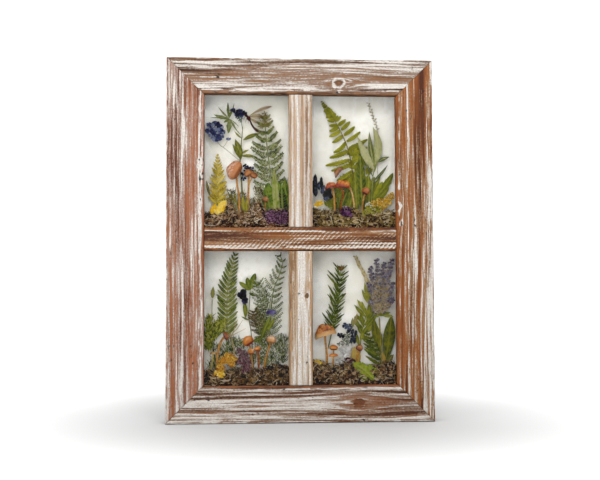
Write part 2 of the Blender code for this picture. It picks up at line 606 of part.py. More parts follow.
def plant_lower_left():
    """A dark fern, a flowering twig, a grey spray, blades and a row of small mushrooms."""
    pane = "ll"
    moss_bed(pane, [(-3, 15), (19, 13), (35, 15), (46, 16), (62, 18), (73, 28), (84, 19), (92, 18)])
    spine = [(24.0, 30.0), (23.9, 73.7), (23.9, 89.5), (24.9, 103.3), (29.1, 123.3), (33.2, 138.6)]
    fern = frond(spine, 18, (13, 15, 15, 15, 14, 11, 4), (12, 15, 16, 16, 14, 10, 4), (52, 34))
    flat_solid("ll_fern_frond", pane, fern, LAYER[2], "dark_green")
    blades = [leaf(base, tip, width, bend, cuts=4) for base, tip, width, bend in (
        ((8.5, 12.0), (2.0, 69.0), 6.0, -1.0), ((10.0, 12.0), (7.4, 76.0), 7.0, 0.4),
        ((12.0, 12.0), (14.0, 64.0), 8.0, 0.8), ((14.0, 12.0), (21.5, 70.6), 7.0, 1.0))]
    flat_solid("ll_side_blades", pane, blades, LAYER[1], "fern_green")
    stem = [(52.5, 10.0), (49.5, 55.0), (47.0, 69.4), (47.6, 84.2), (48.8, 103.0)]
    twig = [strip(stem, 1.2, 0.9, cuts=8)]
    twig += [leaf(base, tip, width, bend, cuts=2) for base, tip, width, bend in (
        ((48.6, 100.0), (54.0, 116.5), 5.6, 0.3), ((48.6, 100.0), (44.5, 112.2), 4.6, 0.2),
        ((48.4, 101.0), (36.8, 108.8), 4.6, 0.5), ((48.6, 102.0), (58.4, 107.0), 4.4, 0.2),
        ((47.0, 97.0), (53.6, 93.5), 3.2, 0.3), ((46.0, 68.0), (57.0, 76.0), 1.8, 0.3),
        ((49.0, 67.6), (39.0, 72.0), 1.8, 0.3), ((47.8, 67.0), (42.0, 86.0), 4.4, -0.4))]
    petals = [(42.4, 88.4), (40.6, 93.0), (41.4, 97.4)]
    twig += [blossom(x, z, 3.9, turn=0.6 * k) for k, (x, z) in enumerate(petals)]
    flat_solid("ll_flowering_twig", pane, twig, LAYER[3], "fern_green")
    spine = [(64.0, 10.0), (68.0, 45.0), (70.4, 76.7), (72.5, 98.9), (79.6, 115.3), (82.5, 129.7),
             (77.5, 139.0)]
    spray = frond(spine, 15, (12, 14, 16, 18, 19, 14, 7, 3), (14, 15, 16, 16, 16, 10, 6, 3), (58, 44))
    flat_solid("ll_feathery_spray", pane, spray, LAYER[0], "grey_green")

    mushroom("ll_hooked_mushroom", pane, [(13.6, 8.0), (15.0, 34.0), (16.8, 46.0), (19.4, 51.4)], 1.0,
             (23.4, 50.4), 4.0, 5.0, lean=-28, cap_depth=1.9, cuts=7)
    mushroom("ll_pale_mushroom", pane, [(6.8, 6.0), (8.2, 22.0)], 0.9, (9.7, 33.6), 3.6, 3.4,
             finish_name="pale_mushroom", cap_depth=1.9)
    tuft = mushroom("ll_orange_tuft", pane, [(50.0, 8.0), (50.0, 24.0), (48.6, 36.0)], 0.9, (46.2, 45.9), 6.9,
                    10.5, lean=122, cap_depth=3.0)
    second = mushroom("ll_tuft_second", pane, [(51.6, 8.0), (50.6, 24.0)], 0.9, (49.6, 34.8), 4.5, 6.4,
                      lean=100)
    third = mushroom("ll_tuft_third", pane, [(56.9, 8.0), (57.0, 22.0)], 0.9, (55.8, 36.6), 4.0, 5.4, lean=94)
    fuse(tuft, (second, third))
    mushroom("ll_peach_mushroom", pane, [(61.6, 8.0), (64.6, 26.0), (68.0, 39.0)], 1.0, (71.1, 47.6),
             5.4, 8.2, lean=72, finish_name="pale_mushroom", cap_depth=2.6)
    heads = [(22, 29), (27, 30.5), (31, 27), (26, 24.5), (20, 23), (16.5, 18), (19, 13.5)]
    yarrow = [blossom(x, z, 4.0, petals=3, turn=0.5 * k) for k, (x, z) in enumerate(heads)]
    flat_solid("ll_yarrow", pane, yarrow, IN_FRONT, "golden_petal", thickness=1.5)
    heads = [(37.0, 34.5), (39.6, 29.5), (43.5, 26.5), (40.5, 22.0), (45.0, 20.0), (42.0, 15.5),
             (37.5, 25.5)]
    flower = [blossom(x, z, 4.0, turn=0.6 * k) for k, (x, z) in enumerate(heads)]
    flat_solid("ll_purple_flower", pane, flower, IN_FRONT, "purple_petal", thickness=1.5)


def plant_lower_right():
    """A yew sprig, a bunch of lavender, olive leaves, a dark flower and a large flat mushroom."""
    pane = "lr"
    moss_bed(pane, [(-3, 24), (8, 23), (19, 18), (40, 20), (56, 17), (72, 18), (80, 22), (92, 20)])
    spine = [(12.0, 34.0), (22.3, 69.0), (27.7, 89.2), (31.0, 108.0), (32.1, 126.8)]
    yew = frond(spine, 17, (14, 16, 17, 17, 16, 15, 9), (12, 14, 16, 16, 16, 15, 9), (36, 20))
    flat_solid("lr_yew_sprig", pane, yew, LAYER[1], "dark_green")
    stalk = [(66.0, 60.0), (62.5, 88.0), (60.2, 108.3), (53.6, 123.2), (46.6, 135.4)]
    grass = [strip(stalk, 1.0, 0.6, cuts=7)]
    for k, (x, z) in enumerate(along_points(stalk, np.linspace(0.55, 0.97, 7))):
        side = 1 if k % 2 else -1
        grass.append(leaf((x - side * 0.6, z - 2.0), (x + side * 1.8, z + 3.8), 2.8, cuts=1))
    flat_solid("lr_grass_spike", pane, grass, LAYER[4], "straw")
    stem = [(50.0, 8.0), (52.5, 46.6), (55.4, 62.5), (59.8, 78.4), (62.0, 93.0)]
    olive = [strip(stem, 1.6, 0.9, cuts=8)]
    olive += [leaf(base, tip, width, bend, cuts=2) for base, tip, width, bend in (
        ((62.0, 90.0), (55.6, 106.5), 3.8, 0.6), ((61.4, 86.0), (54.0, 99.0), 3.4, 0.4),
        ((61.8, 88.0), (63.8, 103.0), 3.4, -0.3), ((59.0, 76.0), (45.4, 88.0), 4.4, 0.6),
        ((57.6, 71.0), (42.4, 81.4), 4.2, 0.5), ((58.0, 73.0), (51.6, 86.5), 3.8, 0.4),
        ((56.0, 65.0), (41.6, 72.0), 3.8, 0.4), ((55.0, 60.0), (43.8, 65.4), 3.6, 0.4),
        ((59.8, 78.0), (65.6, 90.0), 4.2, -0.3), ((57.6, 69.0), (66.0, 77.6), 4.4, -0.4),
        ((56.0, 63.0), (63.0, 70.0), 4.2, -0.3), ((53.6, 52.0), (61.5, 63.5), 5.0, -0.3),
        ((53.4, 54.0), (46.6, 62.0), 3.6, 0.3))]
    flat_solid("lr_olive_sprig", pane, olive, LAYER[2], "fern_green")
    lavender_bunch(pane)
    broad = [leaf((75.6, 10.0), (85.6, 73.5), 13.0, -1.2, cuts=7, fullest=0.62),
             leaf((77.0, 40.0), (88.0, 63.0), 4.0, -0.4)]
    flat_solid("lr_broad_leaf", pane, broad, LAYER[1], "dark_green")
    fern = frond([(72.0, 12.0), (67.6, 27.0), (62.7, 36.0), (54.6, 50.6)], 11, (8, 12, 11, 8, 2),
                 (7, 10, 10, 8, 2), (62, 46), start=0.12, notch=0.1)
    flat_solid("lr_fern_leaf", pane, fern, LAYER[0], "dark_green")
    mushroom("lr_large_mushroom", pane, [(15.3, 8.0), (15.9, 30.0)], 1.2, (13.9, 56.2), 12.4, 16.5, lean=98,
             cap_depth=3.3)
    mushroom("lr_round_mushroom", pane, [(48.4, 8.0), (48.6, 28.0)], 1.0, (50.8, 38.6), 4.0, 6.6, lean=60)
    petals = [(34.6, 62.0), (38.6, 60.4), (42.0, 56.6), (46.4, 57.0), (38.0, 54.4), (43.6, 51.0),
              (33.4, 50.8), (38.4, 49.0)]
    dark = [blossom(x, z, 3.8, petals=3, turn=0.6 * k) for k, (x, z) in enumerate(petals)]
    dark.append(strip([(38.0, 50.0), (35.0, 30.0), (34.0, 8.0)], 1.1, 0.9))
    flat_solid("lr_dark_flower", pane, dark, STEMS + 0.2, "blue_petal", thickness=1.4)
    lobed = [leaf((60.0, 4.0), (42.6, 24.6), 9.0, -0.8), leaf((60.0, 4.0), (52.0, 24.6), 8.0, 0.3),
             leaf((59.6, 4.0), (60.6, 24.4), 8.0, 0.3), leaf((60.0, 4.0), (69.0, 21.4), 9.0, 0.8)]
    flat_solid("lr_lobed_leaf", pane, lobed, IN_FRONT, "fern_green", thickness=0.8)


def lavender_bunch(pane):
    """Lavender heads gathered on one stem, each a column of whorls of florets."""
    neck = (72.0, 70.0)
    bunch = [strip([neck, (73.5, 41.2), (74.3, 6.3)], 2.0, 1.3, cuts=4)]
    heads = (((62.4, 123.0), 4.9), ((70.4, 133.0), 5.1), ((78.6, 126.5), 5.0), ((85.0, 131.0), 4.7),
             ((86.8, 105.0), 4.4))
    for tip, reach in heads:
        whorls = (reach, 0.95 * reach, 0.6 * reach)
        bunch += frond([neck, tip], 4, whorls, whorls, (60, 50), start=0.32, notch=0.2,
                       stem=(2.6, 2.2), cuts=2)
    flat_solid("lr_lavender", pane, bunch, STEMS, "purple_petal", thickness=1.5)


def main():
    """Builds every piece of the panel."""
    clear_scene()
    build_frame()
    build_backing()
    build_castings()
    plant_upper_left()
    plant_upper_right()
    plant_lower_left()
    plant_lower_right()


main()
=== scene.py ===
"""Looks of the framed botanical resin panel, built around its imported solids.

The panel faces -Y. Every plant is placed in millimetres in its pane: x from the left edge of the
opening, z up from its lower edge, and depth back from the front face of the casting.
"""

import math

import bpy
import numpy as np
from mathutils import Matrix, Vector


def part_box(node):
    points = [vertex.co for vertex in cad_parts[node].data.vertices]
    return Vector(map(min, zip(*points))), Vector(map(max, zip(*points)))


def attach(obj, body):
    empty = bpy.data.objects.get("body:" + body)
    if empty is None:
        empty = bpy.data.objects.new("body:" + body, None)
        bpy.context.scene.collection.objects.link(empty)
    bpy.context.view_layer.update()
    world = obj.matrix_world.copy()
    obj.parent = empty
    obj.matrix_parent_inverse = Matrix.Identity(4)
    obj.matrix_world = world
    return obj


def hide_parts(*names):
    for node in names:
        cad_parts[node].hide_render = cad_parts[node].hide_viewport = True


bl_info = {
    "name": "Botanical Resin Panel",
    "version": (1, 0, 0),
    "blender": (4, 5, 0),
    "location": "View3D > Sidebar > Botanical Panel",
    "description": "Limed wood, clear castings and pressed plants for a framed panel",
    "category": "Object",
}

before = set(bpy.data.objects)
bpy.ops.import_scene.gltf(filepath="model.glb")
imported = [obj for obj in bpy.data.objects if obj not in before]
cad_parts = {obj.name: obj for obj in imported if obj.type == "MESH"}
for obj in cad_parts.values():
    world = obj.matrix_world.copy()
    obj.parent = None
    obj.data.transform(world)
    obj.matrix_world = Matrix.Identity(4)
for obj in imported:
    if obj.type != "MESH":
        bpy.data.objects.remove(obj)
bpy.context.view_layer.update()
MM = 0.001
PANES = ("ul", "ur", "ll", "lr")


def box_mm(node):
    """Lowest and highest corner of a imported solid, in millimetres."""
    low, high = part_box(node)
    return np.array(low) / MM, np.array(high) / MM


CROSS_LOW, CROSS_HIGH = box_mm("cross_bar")
MULLION_LOW, MULLION_HIGH = box_mm("upper_mullion")
STILE_LOW, STILE_HIGH = box_mm("left_stile")
RAIL_LOW, RAIL_HIGH = box_mm("bottom_rail")
CASTING_LOW = box_mm("ul_casting_front")[0]
FRONT_Y = CASTING_LOW[1]
CORNER = {
    "ul": (STILE_HIGH[0], CROSS_HIGH[2]),
    "ur": (MULLION_HIGH[0], CROSS_HIGH[2]),
    "ll": (STILE_HIGH[0], RAIL_HIGH[2]),
    "lr": (MULLION_HIGH[0], RAIL_HIGH[2]),
}
SIGHT_WIDTH = MULLION_LOW[0] - STILE_HIGH[0]

# Depths inside a casting, in millimetres from its front face.
IN_FRONT = 2.4
BED_FRONT = 3.8
BED_BACK = 7.3
STEM_DEPTH = 8.55
LAYER = (10, 10.9, 11.8, 12.7, 13.5)


# Sizes and colours that a user may change


class BotanicalPanelSettings(bpy.types.PropertyGroup):
    grain_cuts: bpy.props.IntProperty(
        name="Grain cuts", description="Steps along each long wood member", default=340, min=20, max=600)
    relief: bpy.props.FloatProperty(
        name="Brushed relief", description="Depth of the grooves brushed into the wood, in metres",
        default=0.0004, min=0.0, max=0.001, unit="LENGTH")
    lime_colour: bpy.props.FloatVectorProperty(
        name="Lime", description="Colour of the white wash in the grain", subtype="COLOR",
        default=(0.44, 0.41, 0.375), min=0.0, max=1.0)
    resin_density: bpy.props.FloatProperty(
        name="Resin tint", description="How strongly the clear resin absorbs", default=5.0, min=0.0,
        max=50.0)
    resin_ior: bpy.props.FloatProperty(
        name="Resin IOR", description="Index of refraction of the cast resin", default=1.49, min=1.0,
        max=2.0)
    strand_count: bpy.props.IntProperty(
        name="Litter strands", description="Loose strands of moss and straw in each bed", default=1500,
        min=0, max=4000)
    key_power: bpy.props.FloatProperty(
        name="Key light", description="Power of the large light above the front", default=13.0, min=0.0,
        unit="POWER")
    fill_power: bpy.props.FloatProperty(
        name="Fill light", description="Power of the low light at the left of the front", default=7.0, min=0.0,
        unit="POWER")


def settings():
    """The panel's settings in this scene."""
    return bpy.context.scene.botanical_panel


# Numbers that vary smoothly


def lattice_noise(points, seed=0):
    """Smooth noise from 0 to 1 at an array of points of one to three numbers.

    Every corner of a whole-number lattice has a scrambled value. The value at a point is the mean
    of its cell's corners, weighted by 3t^2 - 2t^3 of its place in the cell along each axis.
    """
    points = np.asarray(points, float)
    cell = np.floor(points).astype(np.int64)
    part = points - cell
    part = part * part * (3 - 2 * part)
    total = np.zeros(points.shape[:-1])
    count = points.shape[-1]
    for corner in np.ndindex(*(2,) * count):
        key = np.full(points.shape[:-1], seed * 7919 + 17, np.int64)
        weight = np.ones(points.shape[:-1])
        for axis, step in enumerate(corner):
            key = key * 31 + (cell[..., axis] + step) * 73856093 & 4294967295
            key = (key ^ key >> 13) * 1274126177 & 4294967295
            weight *= part[..., axis] if step else 1 - part[..., axis]
        key = key ^ key >> 16
        total += weight * ((key & 65535) / 65535)
    return total


def ramp(values, low, high):
    """0 below low, 1 above high, eased between them by 3t^2 - 2t^3."""
    t = np.clip((values - low) / (high - low), 0, 1)
    return t * t * (3 - 2 * t)


def curve_points(points, shares):
    """Points at shares of the length of a smooth curve that passes through all of points.

    Between two points the curve is the cubic whose slopes are half the step between neighbours.
    """
    p = np.asarray(points, float)
    if len(p) < 3:
        dense = p
    else:
        ends = np.vstack((2 * p[:1] - p[1:2], p, 2 * p[-1:] - p[-2:-1]))
        t = np.linspace(0, 1, 13)[:-1, None]
        a, b, c, d = (ends[k:len(p) - 1 + k, None, :] for k in range(4))
        cubic = 0.5 * (2 * b + (c - a) * t + (2 * a - 5 * b + 4 * c - d) * t**2 + (3 * b - a - 3 * c + d)
            * t**3)
        dense = np.vstack((cubic.reshape(-1, p.shape[1]), p[-1:]))
    run = np.concatenate(([0], np.cumsum(np.linalg.norm(np.diff(dense, axis=0), axis=1))))
    target = np.asarray(shares) * run[-1]
    return np.stack([np.interp(target, run, dense[:, k]) for k in range(p.shape[1])], axis=-1)


# Meshes from whole arrays


def compass(angle):
    """The step of length one in x and z at an angle from x."""
    return np.stack((np.cos(angle), np.sin(angle)), -1)


def in_pane(flat, depth):
    """Points (x, depth, z) from points (x, z)."""
    return np.stack((flat[..., 0], depth + 0 * flat[..., 0], flat[..., 1]), -1)


def unit(vectors):
    """Vectors scaled to length one."""
    return vectors / np.maximum(np.linalg.norm(vectors, axis=-1, keepdims=True), 1e-09)


def part_of(points, quads, tris, along=0, across=0, tone=0.5, material=0):
    """One part of a piece: its points, faces, three surface values and its material's place."""
    count = len(points)
    values = [np.broadcast_to(np.asarray(v, float), (count,)) for v in (along, across, tone)]
    return {"points": points, "quads": np.asarray(quads, int).reshape(-1, 4),
        "tris": np.asarray(tris, int).reshape(-1, 3), "values": values, "material": material}


def tubes(paths, sides, half_widths, half_depths, ring=6, cup=0, tone=0.5, material=0):
    """Closed bodies, many at once: an oval carried along each path and drawn to a point at its ends.

    paths and sides are (count, steps, 3). A point is path + side * half_width * cos(a) + front *
    (half_depth * sin(a) + cup * half_width * cos(a)^2), for ring even angles a, where front stands
    square to the path and the side. along is the share of the steps, and across is cos(a).
    """
    paths = np.asarray(paths, float)
    count, steps, _ = paths.shape
    sides = np.broadcast_to(sides, paths.shape)
    widths = np.broadcast_to(half_widths, (count, steps))[:, 1:-1, None, None]
    depths = np.broadcast_to(half_depths, (count, steps))[:, 1:-1, None, None]
    tangent = unit(np.gradient(paths, axis=1))
    front = unit(np.cross(tangent, sides))
    side = unit(np.cross(front, tangent))[:, 1:-1, None, :]
    front = front[:, 1:-1, None, :]
    a = (2 * math.pi * np.arange(ring) / ring)[:, None]
    rings = paths[:, 1:-1, None, :] + side * widths * np.cos(a) + front * (depths * np.sin(a)
        + np.reshape(cup, (-1, 1, 1, 1)) * widths * np.cos(a)**2)
    inner = steps - 2
    points = np.concatenate((paths[:, :1], rings.reshape(count, -1, 3), paths[:, -1:]), axis=1)
    k = np.arange(ring)
    n = (k + 1) % ring
    row = 1 + ring * np.arange(inner - 1)[:, None]
    quads = np.stack((row + k, row + n, row + ring + n, row + ring + k), axis=-1).reshape(-1, 4)
    last = 1 + ring * (inner - 1)
    top = last + ring
    tris = np.concatenate((np.stack((0 * k, 1 + n, 1 + k), axis=-1), np.stack((0 * k + top, last + k,
        last + n), axis=-1)))
    shift = (top + 1) * np.arange(count)[:, None, None]
    share = np.linspace(0, 1, steps)
    along = np.concatenate(([0], np.repeat(share[1:-1], ring), [1]))
    across = np.concatenate(([0], np.tile(np.cos(a[:, 0]), inner), [0]))
    tones = np.repeat(np.broadcast_to(tone, (count,)), top + 1)
    return part_of(points.reshape(-1, 3), (quads[None] + shift).reshape(-1, 4),
        (tris[None] + shift).reshape(-1, 3), np.tile(along, count), np.tile(across, count), tones,
        material)


def grid_part(points, along=0, across=0, tone=0.5):
    """A closed surface from a (rows, columns, 3) grid whose columns close on themselves.

    The first and the last row are filled by a fan round their middle.
    """
    rows, columns, _ = points.shape
    k = np.arange(columns)
    n = (k + 1) % columns
    row = columns * np.arange(rows - 1)[:, None]
    after = row + columns
    quads = np.stack((row + k, row + n, after + n, after + k), axis=-1).reshape(-1, 4)
    flat = np.concatenate((points.reshape(-1, 3), [points[0].mean(axis=0), points[-1].mean(axis=0)]))
    first, last = (rows * columns, (rows - 1) * columns)
    tris = np.concatenate((np.stack((0 * k + first, n, k), axis=-1), np.stack((0 * k + first + 1, last + k,
        last + n), axis=-1)))
    values = [np.broadcast_to(v, (rows, columns)).reshape(-1) for v in (along, across, tone)]
    values = [np.concatenate((v, [v[0], v[-1]])) for v in values]
    return part_of(flat, quads, tris, *values)


def make_piece(name, parts, materials, slot, *nodes, sharp=50, values=("along", "across", "tone"),
        corner=(0, 0, 0)):
    """One object from parts in millimetres from a corner, which stands for the nodes named."""
    starts = np.cumsum([0] + [len(p["points"]) for p in parts])
    points = (np.concatenate([p["points"] for p in parts]) + corner) * MM
    quads = np.concatenate([p["quads"] + s for p, s in zip(parts, starts)])
    tris = np.concatenate([p["tris"] + s for p, s in zip(parts, starts)])
    mesh = bpy.data.meshes.new(name)
    mesh.vertices.add(len(points))
    mesh.vertices.foreach_set("co", points.reshape(-1).astype(np.float32))
    loops = np.concatenate((quads.reshape(-1), tris.reshape(-1)))
    mesh.loops.add(len(loops))
    mesh.loops.foreach_set("vertex_index", loops.astype(np.int32))
    sizes = np.concatenate((np.full(len(quads), 4), np.full(len(tris), 3)))
    mesh.polygons.add(len(sizes))
    mesh.polygons.foreach_set("loop_start", (np.cumsum(sizes) - sizes).astype(np.int32))
    places = np.concatenate([np.full(len(p["quads"]), p["material"]) for p in parts]
        + [np.full(len(p["tris"]), p["material"]) for p in parts])
    mesh.polygons.foreach_set("material_index", places.astype(np.int32))
    for k, value in enumerate(values):
        field = mesh.attributes.new(value, "FLOAT", "POINT")
        field.data.foreach_set("value", np.concatenate([p["values"][k] for p in parts]).astype(np.float32))
    mesh.update(calc_edges=True)
    mesh.validate()
    mesh.shade_smooth()
    if sharp:
        mesh.set_sharp_from_angle(angle=math.radians(sharp))
    for material in materials:
        mesh.materials.append(material)
    piece = bpy.data.objects.new(name, mesh)
    bpy.context.scene.collection.objects.link(piece)
    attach(piece, "root")
    if nodes:
        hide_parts(*nodes)


def plant_piece(name, parts, skins, slot, *nodes):
    """A piece in its pane's own millimetres, as x, depth and z. Its name starts with its pane's."""
    x, z = CORNER[name[:2]]
    make_piece(name, parts, skins, slot, *nodes, corner=(x, FRONT_Y, z))


# Materials


def new_material(name):
    """An empty material with a Principled shader, and its node tree."""
    material = bpy.data.materials.new(name)
    material.use_nodes = True
    return material, material.node_tree, material.node_tree.nodes["Principled BSDF"]


def add_node(tree, kind, inputs=None, **options):
    """A node whose inputs are set to a value, or linked where the value is another node's socket."""
    node = tree.nodes.new("ShaderNode" + kind)
    for key, value in options.items():
        setattr(node, key, value)
    for key, value in (inputs or {}).items():
        if isinstance(value, bpy.types.NodeSocket):
            tree.links.new(value, node.inputs[key])
        else:
            node.inputs[key].default_value = value
    return node


def number(tree, operation, first, second=0, third=0):
    """The result of a Math node."""
    node = add_node(tree, "Math", {0: first, 1: second, 2: third}, operation=operation)
    return node.outputs[0]


def times_plus(tree, first, second, third):
    """The first value times the second, plus the third."""
    return number(tree, "MULTIPLY_ADD", first, second, third)


def blend(tree, share, first, second):
    """The colour between two colours, by a share from 0 to 1."""
    node = add_node(tree, "MixRGB", {0: share, 1: opaque(first), 2: opaque(second)})
    return node.outputs[0]


def opaque(colour):
    """A colour with its alpha, or the socket that it already is."""
    if isinstance(colour, bpy.types.NodeSocket):
        return colour
    return *tuple(colour)[:3], 1


def noise(tree, scale, detail=3, stretch=(1, 1, 1), distortion=0):
    """Noise on the object's own coordinates; scale is cells per metre."""
    where = add_node(tree, "TexCoord").outputs["Object"]
    where = add_node(tree, "Mapping", {"Vector": where, "Scale": stretch}).outputs[0]
    node = add_node(tree, "TexNoise", {"Vector": where, "Scale": scale, "Detail": detail,
        "Distortion": distortion})
    return node.outputs[0]


def eased(tree, value, low, high, start=0, end=1):
    """A value mapped from low..high to start..end, eased and kept inside."""
    node = add_node(tree, "MapRange", {0: value, 1: low, 2: high, 3: start, 4: end},
        interpolation_type="SMOOTHSTEP")
    return node.outputs[0]


def surface_value(tree, name):
    """One of the numbers stored on a piece's points."""
    return add_node(tree, "Attribute", attribute_name=name).outputs["Fac"]


def surface(shader, **values):
    """Sets a shader's own values. An underscore in a name stands for a space."""
    for name, value in values.items():
        shader.inputs[name.replace("_", " ")].default_value = value


def bump(tree, shader, height, strength=0.4, distance=0.0003):
    """Lets a height shape the shader's normal."""
    node = add_node(tree, "Bump", {"Height": height, "Strength": strength, "Distance": distance})
    tree.links.new(node.outputs[0], shader.inputs["Normal"])


def in_air(colour):
    """Albedo that shows as a display colour, in six hex digits, in the open studio light."""
    return tuple((min((c / 255)**2.2 / OPEN_LIGHT, 0.95) for c in bytes.fromhex(colour)))


def limed_wood_material(name, dark, warm, wash, axis):
    """Brown stain under a thin grey wash and a thick white one, streaked along the member's axis."""
    material, tree, shader = new_material(name)
    stretch = (0.03, 1, 1) if axis == "x" else (1, 1, 0.03)
    streaks = noise(tree, 1500, 3, stretch)
    veins = noise(tree, 520, 4, stretch, distortion=0.5)
    grit = noise(tree, 1500, 4, (0.35, 1, 1) if axis == "x" else (1, 1, 0.35))
    stain = times_plus(tree, veins, 0.7, surface_value(tree, "stain"))
    brown = blend(tree, eased(tree, stain, 0.45, 1.15), in_air(dark), in_air(warm))
    brown = blend(tree, eased(tree, streaks, 0.54, 0.66, 0, 0.75), brown, [0.25 * c for c in in_air(dark)])
    lime = times_plus(tree, surface_value(tree, "lime"), 0.8, -2.06)
    lime = times_plus(tree, streaks, 1.5, lime)
    lime = times_plus(tree, veins, 1.5, lime)
    lime = times_plus(tree, grit, 1.4, lime)
    thin = blend(tree, eased(tree, lime, 0.1, 0.5, 0, 0.85), brown, in_air(wash))
    white = blend(tree, eased(tree, grit, 0.4, 0.62), settings().lime_colour,
        [0.66 * c for c in settings().lime_colour])
    share = eased(tree, lime, 0.6, 0.82)
    colour = blend(tree, share, thin, white)
    # Painted shade: the pits are painted near-black, the shade inside them.
    colour = blend(tree, surface_value(tree, "shaded_pit"), colour, (0.012, 0.008, 0.006))
    tree.links.new(colour, shader.inputs["Base Color"])
    tree.links.new(eased(tree, share, 0, 1, 0.62, 0.88), shader.inputs["Roughness"])
    surface(shader, Specular_IOR_Level=0.2)
    height = times_plus(tree, streaks, 0.7, number(tree, "MULTIPLY", lime, 0.5))
    bump(tree, shader, height, 0.8, 0.0005)
    return material


def resin_material():
    """Clear cast resin: plain transmission and index of refraction, and a faint warm absorption."""
    material, tree, shader = new_material("clear_resin")
    surface(shader, Base_Color=(1, 1, 1, 1), Transmission_Weight=1, IOR=settings().resin_ior, Roughness=0)
    absorption = add_node(tree, "VolumeAbsorption")
    absorption.inputs["Color"].default_value = (0.97, 0.96, 0.88, 1)
    absorption.inputs["Density"].default_value = settings().resin_density
    output = next((n for n in tree.nodes if n.type == "OUTPUT_MATERIAL"))
    tree.links.new(absorption.outputs[0], output.inputs["Volume"])
    return material


def backing_material():
    """Off-white painted board, mottled with cream and grey, with faint white streaks of painted sheen that
    stand in for reflections on the resin.
    """
    material, tree, shader = new_material("backing")
    clouds = noise(tree, 26, 5, distortion=0.6)
    mottle = noise(tree, 180, 4)
    painted_sheen = noise(tree, 34, 5, (1, 1, 0.45), 1.6)
    grain = noise(tree, 900, 2)
    colour = blend(tree, eased(tree, clouds, 0.36, 0.62), (0.81, 0.785, 0.7), (0.91, 0.9, 0.855))
    colour = blend(tree, eased(tree, mottle, 0.5, 0.66, 0, 0.45), colour, (0.76, 0.74, 0.67))
    # Painted sheen: faint white streaks on the board stand in for reflections on the resin's face.
    colour = blend(tree, eased(tree, painted_sheen, 0.6, 0.68, 0, 0.75), colour, (0.97, 0.97, 0.97))
    colour = blend(tree, eased(tree, grain, 0.62, 0.72, 0, 0.35), colour, (0.66, 0.65, 0.58))
    tree.links.new(colour, shader.inputs["Base Color"])
    surface(shader, Roughness=0.65)
    bump(tree, shader, times_plus(tree, grain, 0.4, mottle), 0.35, 0.0003)
    return material


# Wood members


def grain(along, around, seed):
    """Smooth noise over a surface, at two numbers already divided by the size of its cells."""
    return lattice_noise(np.stack((along, around), -1), seed)


def wood_pattern(along, around, spec):
    """Lime, stain, pits and relief of limed wood, at lengths along and around a member.

    Grain is noise stretched along the member, read at an across value that bows round each knot as
    lines of flow bow round a post. A knot is (along, around, radius, reach of the bow, lime on its
    rim). Saw marks are a slanted wave across the grain, cut off by noise. A stripe is (around,
    width, strength). A chip is a blotch of (along, around, radius) with thick lime and pits. A pit
    is a shallow dip in the relief that the material paints near-black, as painted shade inside it.
    """
    seed = spec["seed"]
    bow = around + 2.4 * grain(along / 110, around / 30, seed)
    knot, rim, halo = np.zeros((3, *along.shape))
    for knot_along, knot_around, radius, reach, limed in spec["knots"]:
        across = around - knot_around
        ragged = 1 + 0.5 * (grain(along / 3, around / 3, seed + 13) - 0.5)
        flow = ((along - knot_along) / reach)**2 + across**2
        heart = np.hypot((along - knot_along) / 1.25, across) * ragged
        bow = bow - across * 1.7 * radius**2 / (flow + 0.4 * radius**2)
        halo = np.maximum(halo, ramp(np.sqrt(flow), 2.6 * radius, 1.1 * radius))
        within = ramp(heart, 1.05 * radius, 0.75 * radius)
        bow = bow + within * (heart * 1.5 - bow)
        knot = np.maximum(knot, within)
        rim = rim + limed * ramp(np.abs(heart - 0.95 * radius), 0.45 * radius, 0.2 * radius)
    broad = grain(along / 170, bow / spec["band"], seed + 1)
    middle = grain(along / 95, bow / 2.3, seed + 2)
    thin = grain(along / 50, bow / 1.05, seed + 3)
    patch = grain(along / 13, around / 3.5, seed + 4)
    tint = grain(along / 140, bow / 6, seed + 5)
    field = spec["contrast"] * (0.7 * (broad - 0.5) + 1.05 * (middle - 0.5) + 0.95 * (thin - 0.5))
    white = spec["lime"] + field + 0.25 * (patch - 0.5) - 0.45 * knot
    sawn = 1
    if spec["slashes"]:
        wave = np.sin((along - 1.1 * around) * 2 * math.pi / 4.6 + 4 * grain(along / 22, around / 9,
            seed + 6))
        cut = ramp(grain(along / 34, around / 3.2, seed + 7), 0.36, 0.52)
        cut = cut * (0.25 + 0.75 * ramp(along, *spec["sawn"]))
        white = white + spec["slashes"] * ramp(wave, 0.1, 0.9) * cut
        sawn = 1 - 0.75 * ramp(wave, 0.2, -0.7)
    for middle_of, width, strength in spec["stripes"]:
        broken = 0.6 + 0.8 * grain(along / 9, around / 2, seed + 10)
        white = white + strength * broken * sawn * ramp(np.abs(around - middle_of), width, 0.5 * width)
    chipped = np.zeros_like(along)
    for chip_along, chip_around, radius in spec["chips"]:
        edge = grain(along / 4, around / 3, seed + 14)
        gap = np.hypot((along - chip_along) / 1.9, around - chip_around) / radius
        chipped = np.maximum(chipped, ramp(gap + 0.9 * (edge - 0.5), 1, 0.75))
    white = white + rim + 0.8 * chipped - 0.3 * halo
    brown = spec["stain"] + 1.3 * (tint - 0.5) + 0.5 * (middle - 0.5) - 0.25 * knot + 0.2 * halo
    # Pits: shallow dips in the relief, painted near-black by the material as painted shade inside them.
    spots = grain(along / 3, around / 1.3, seed + 8)
    rare = grain(along / 23, around / 9, seed + 9)
    shaded_pit = ramp(spots, 0.84, 0.92) * ramp(rare, 0.68, 0.82)
    shaded_pit = np.maximum(shaded_pit, chipped * ramp(spots, 0.62, 0.72))
    groove = ramp(middle, 0.65, 0.25) * 0.65 + ramp(thin, 0.7, 0.3) * 0.35
    return np.clip(white, -0.6, 1.4), np.clip(brown, 0, 1), shaded_pit, groove + 0.9 * shaded_pit


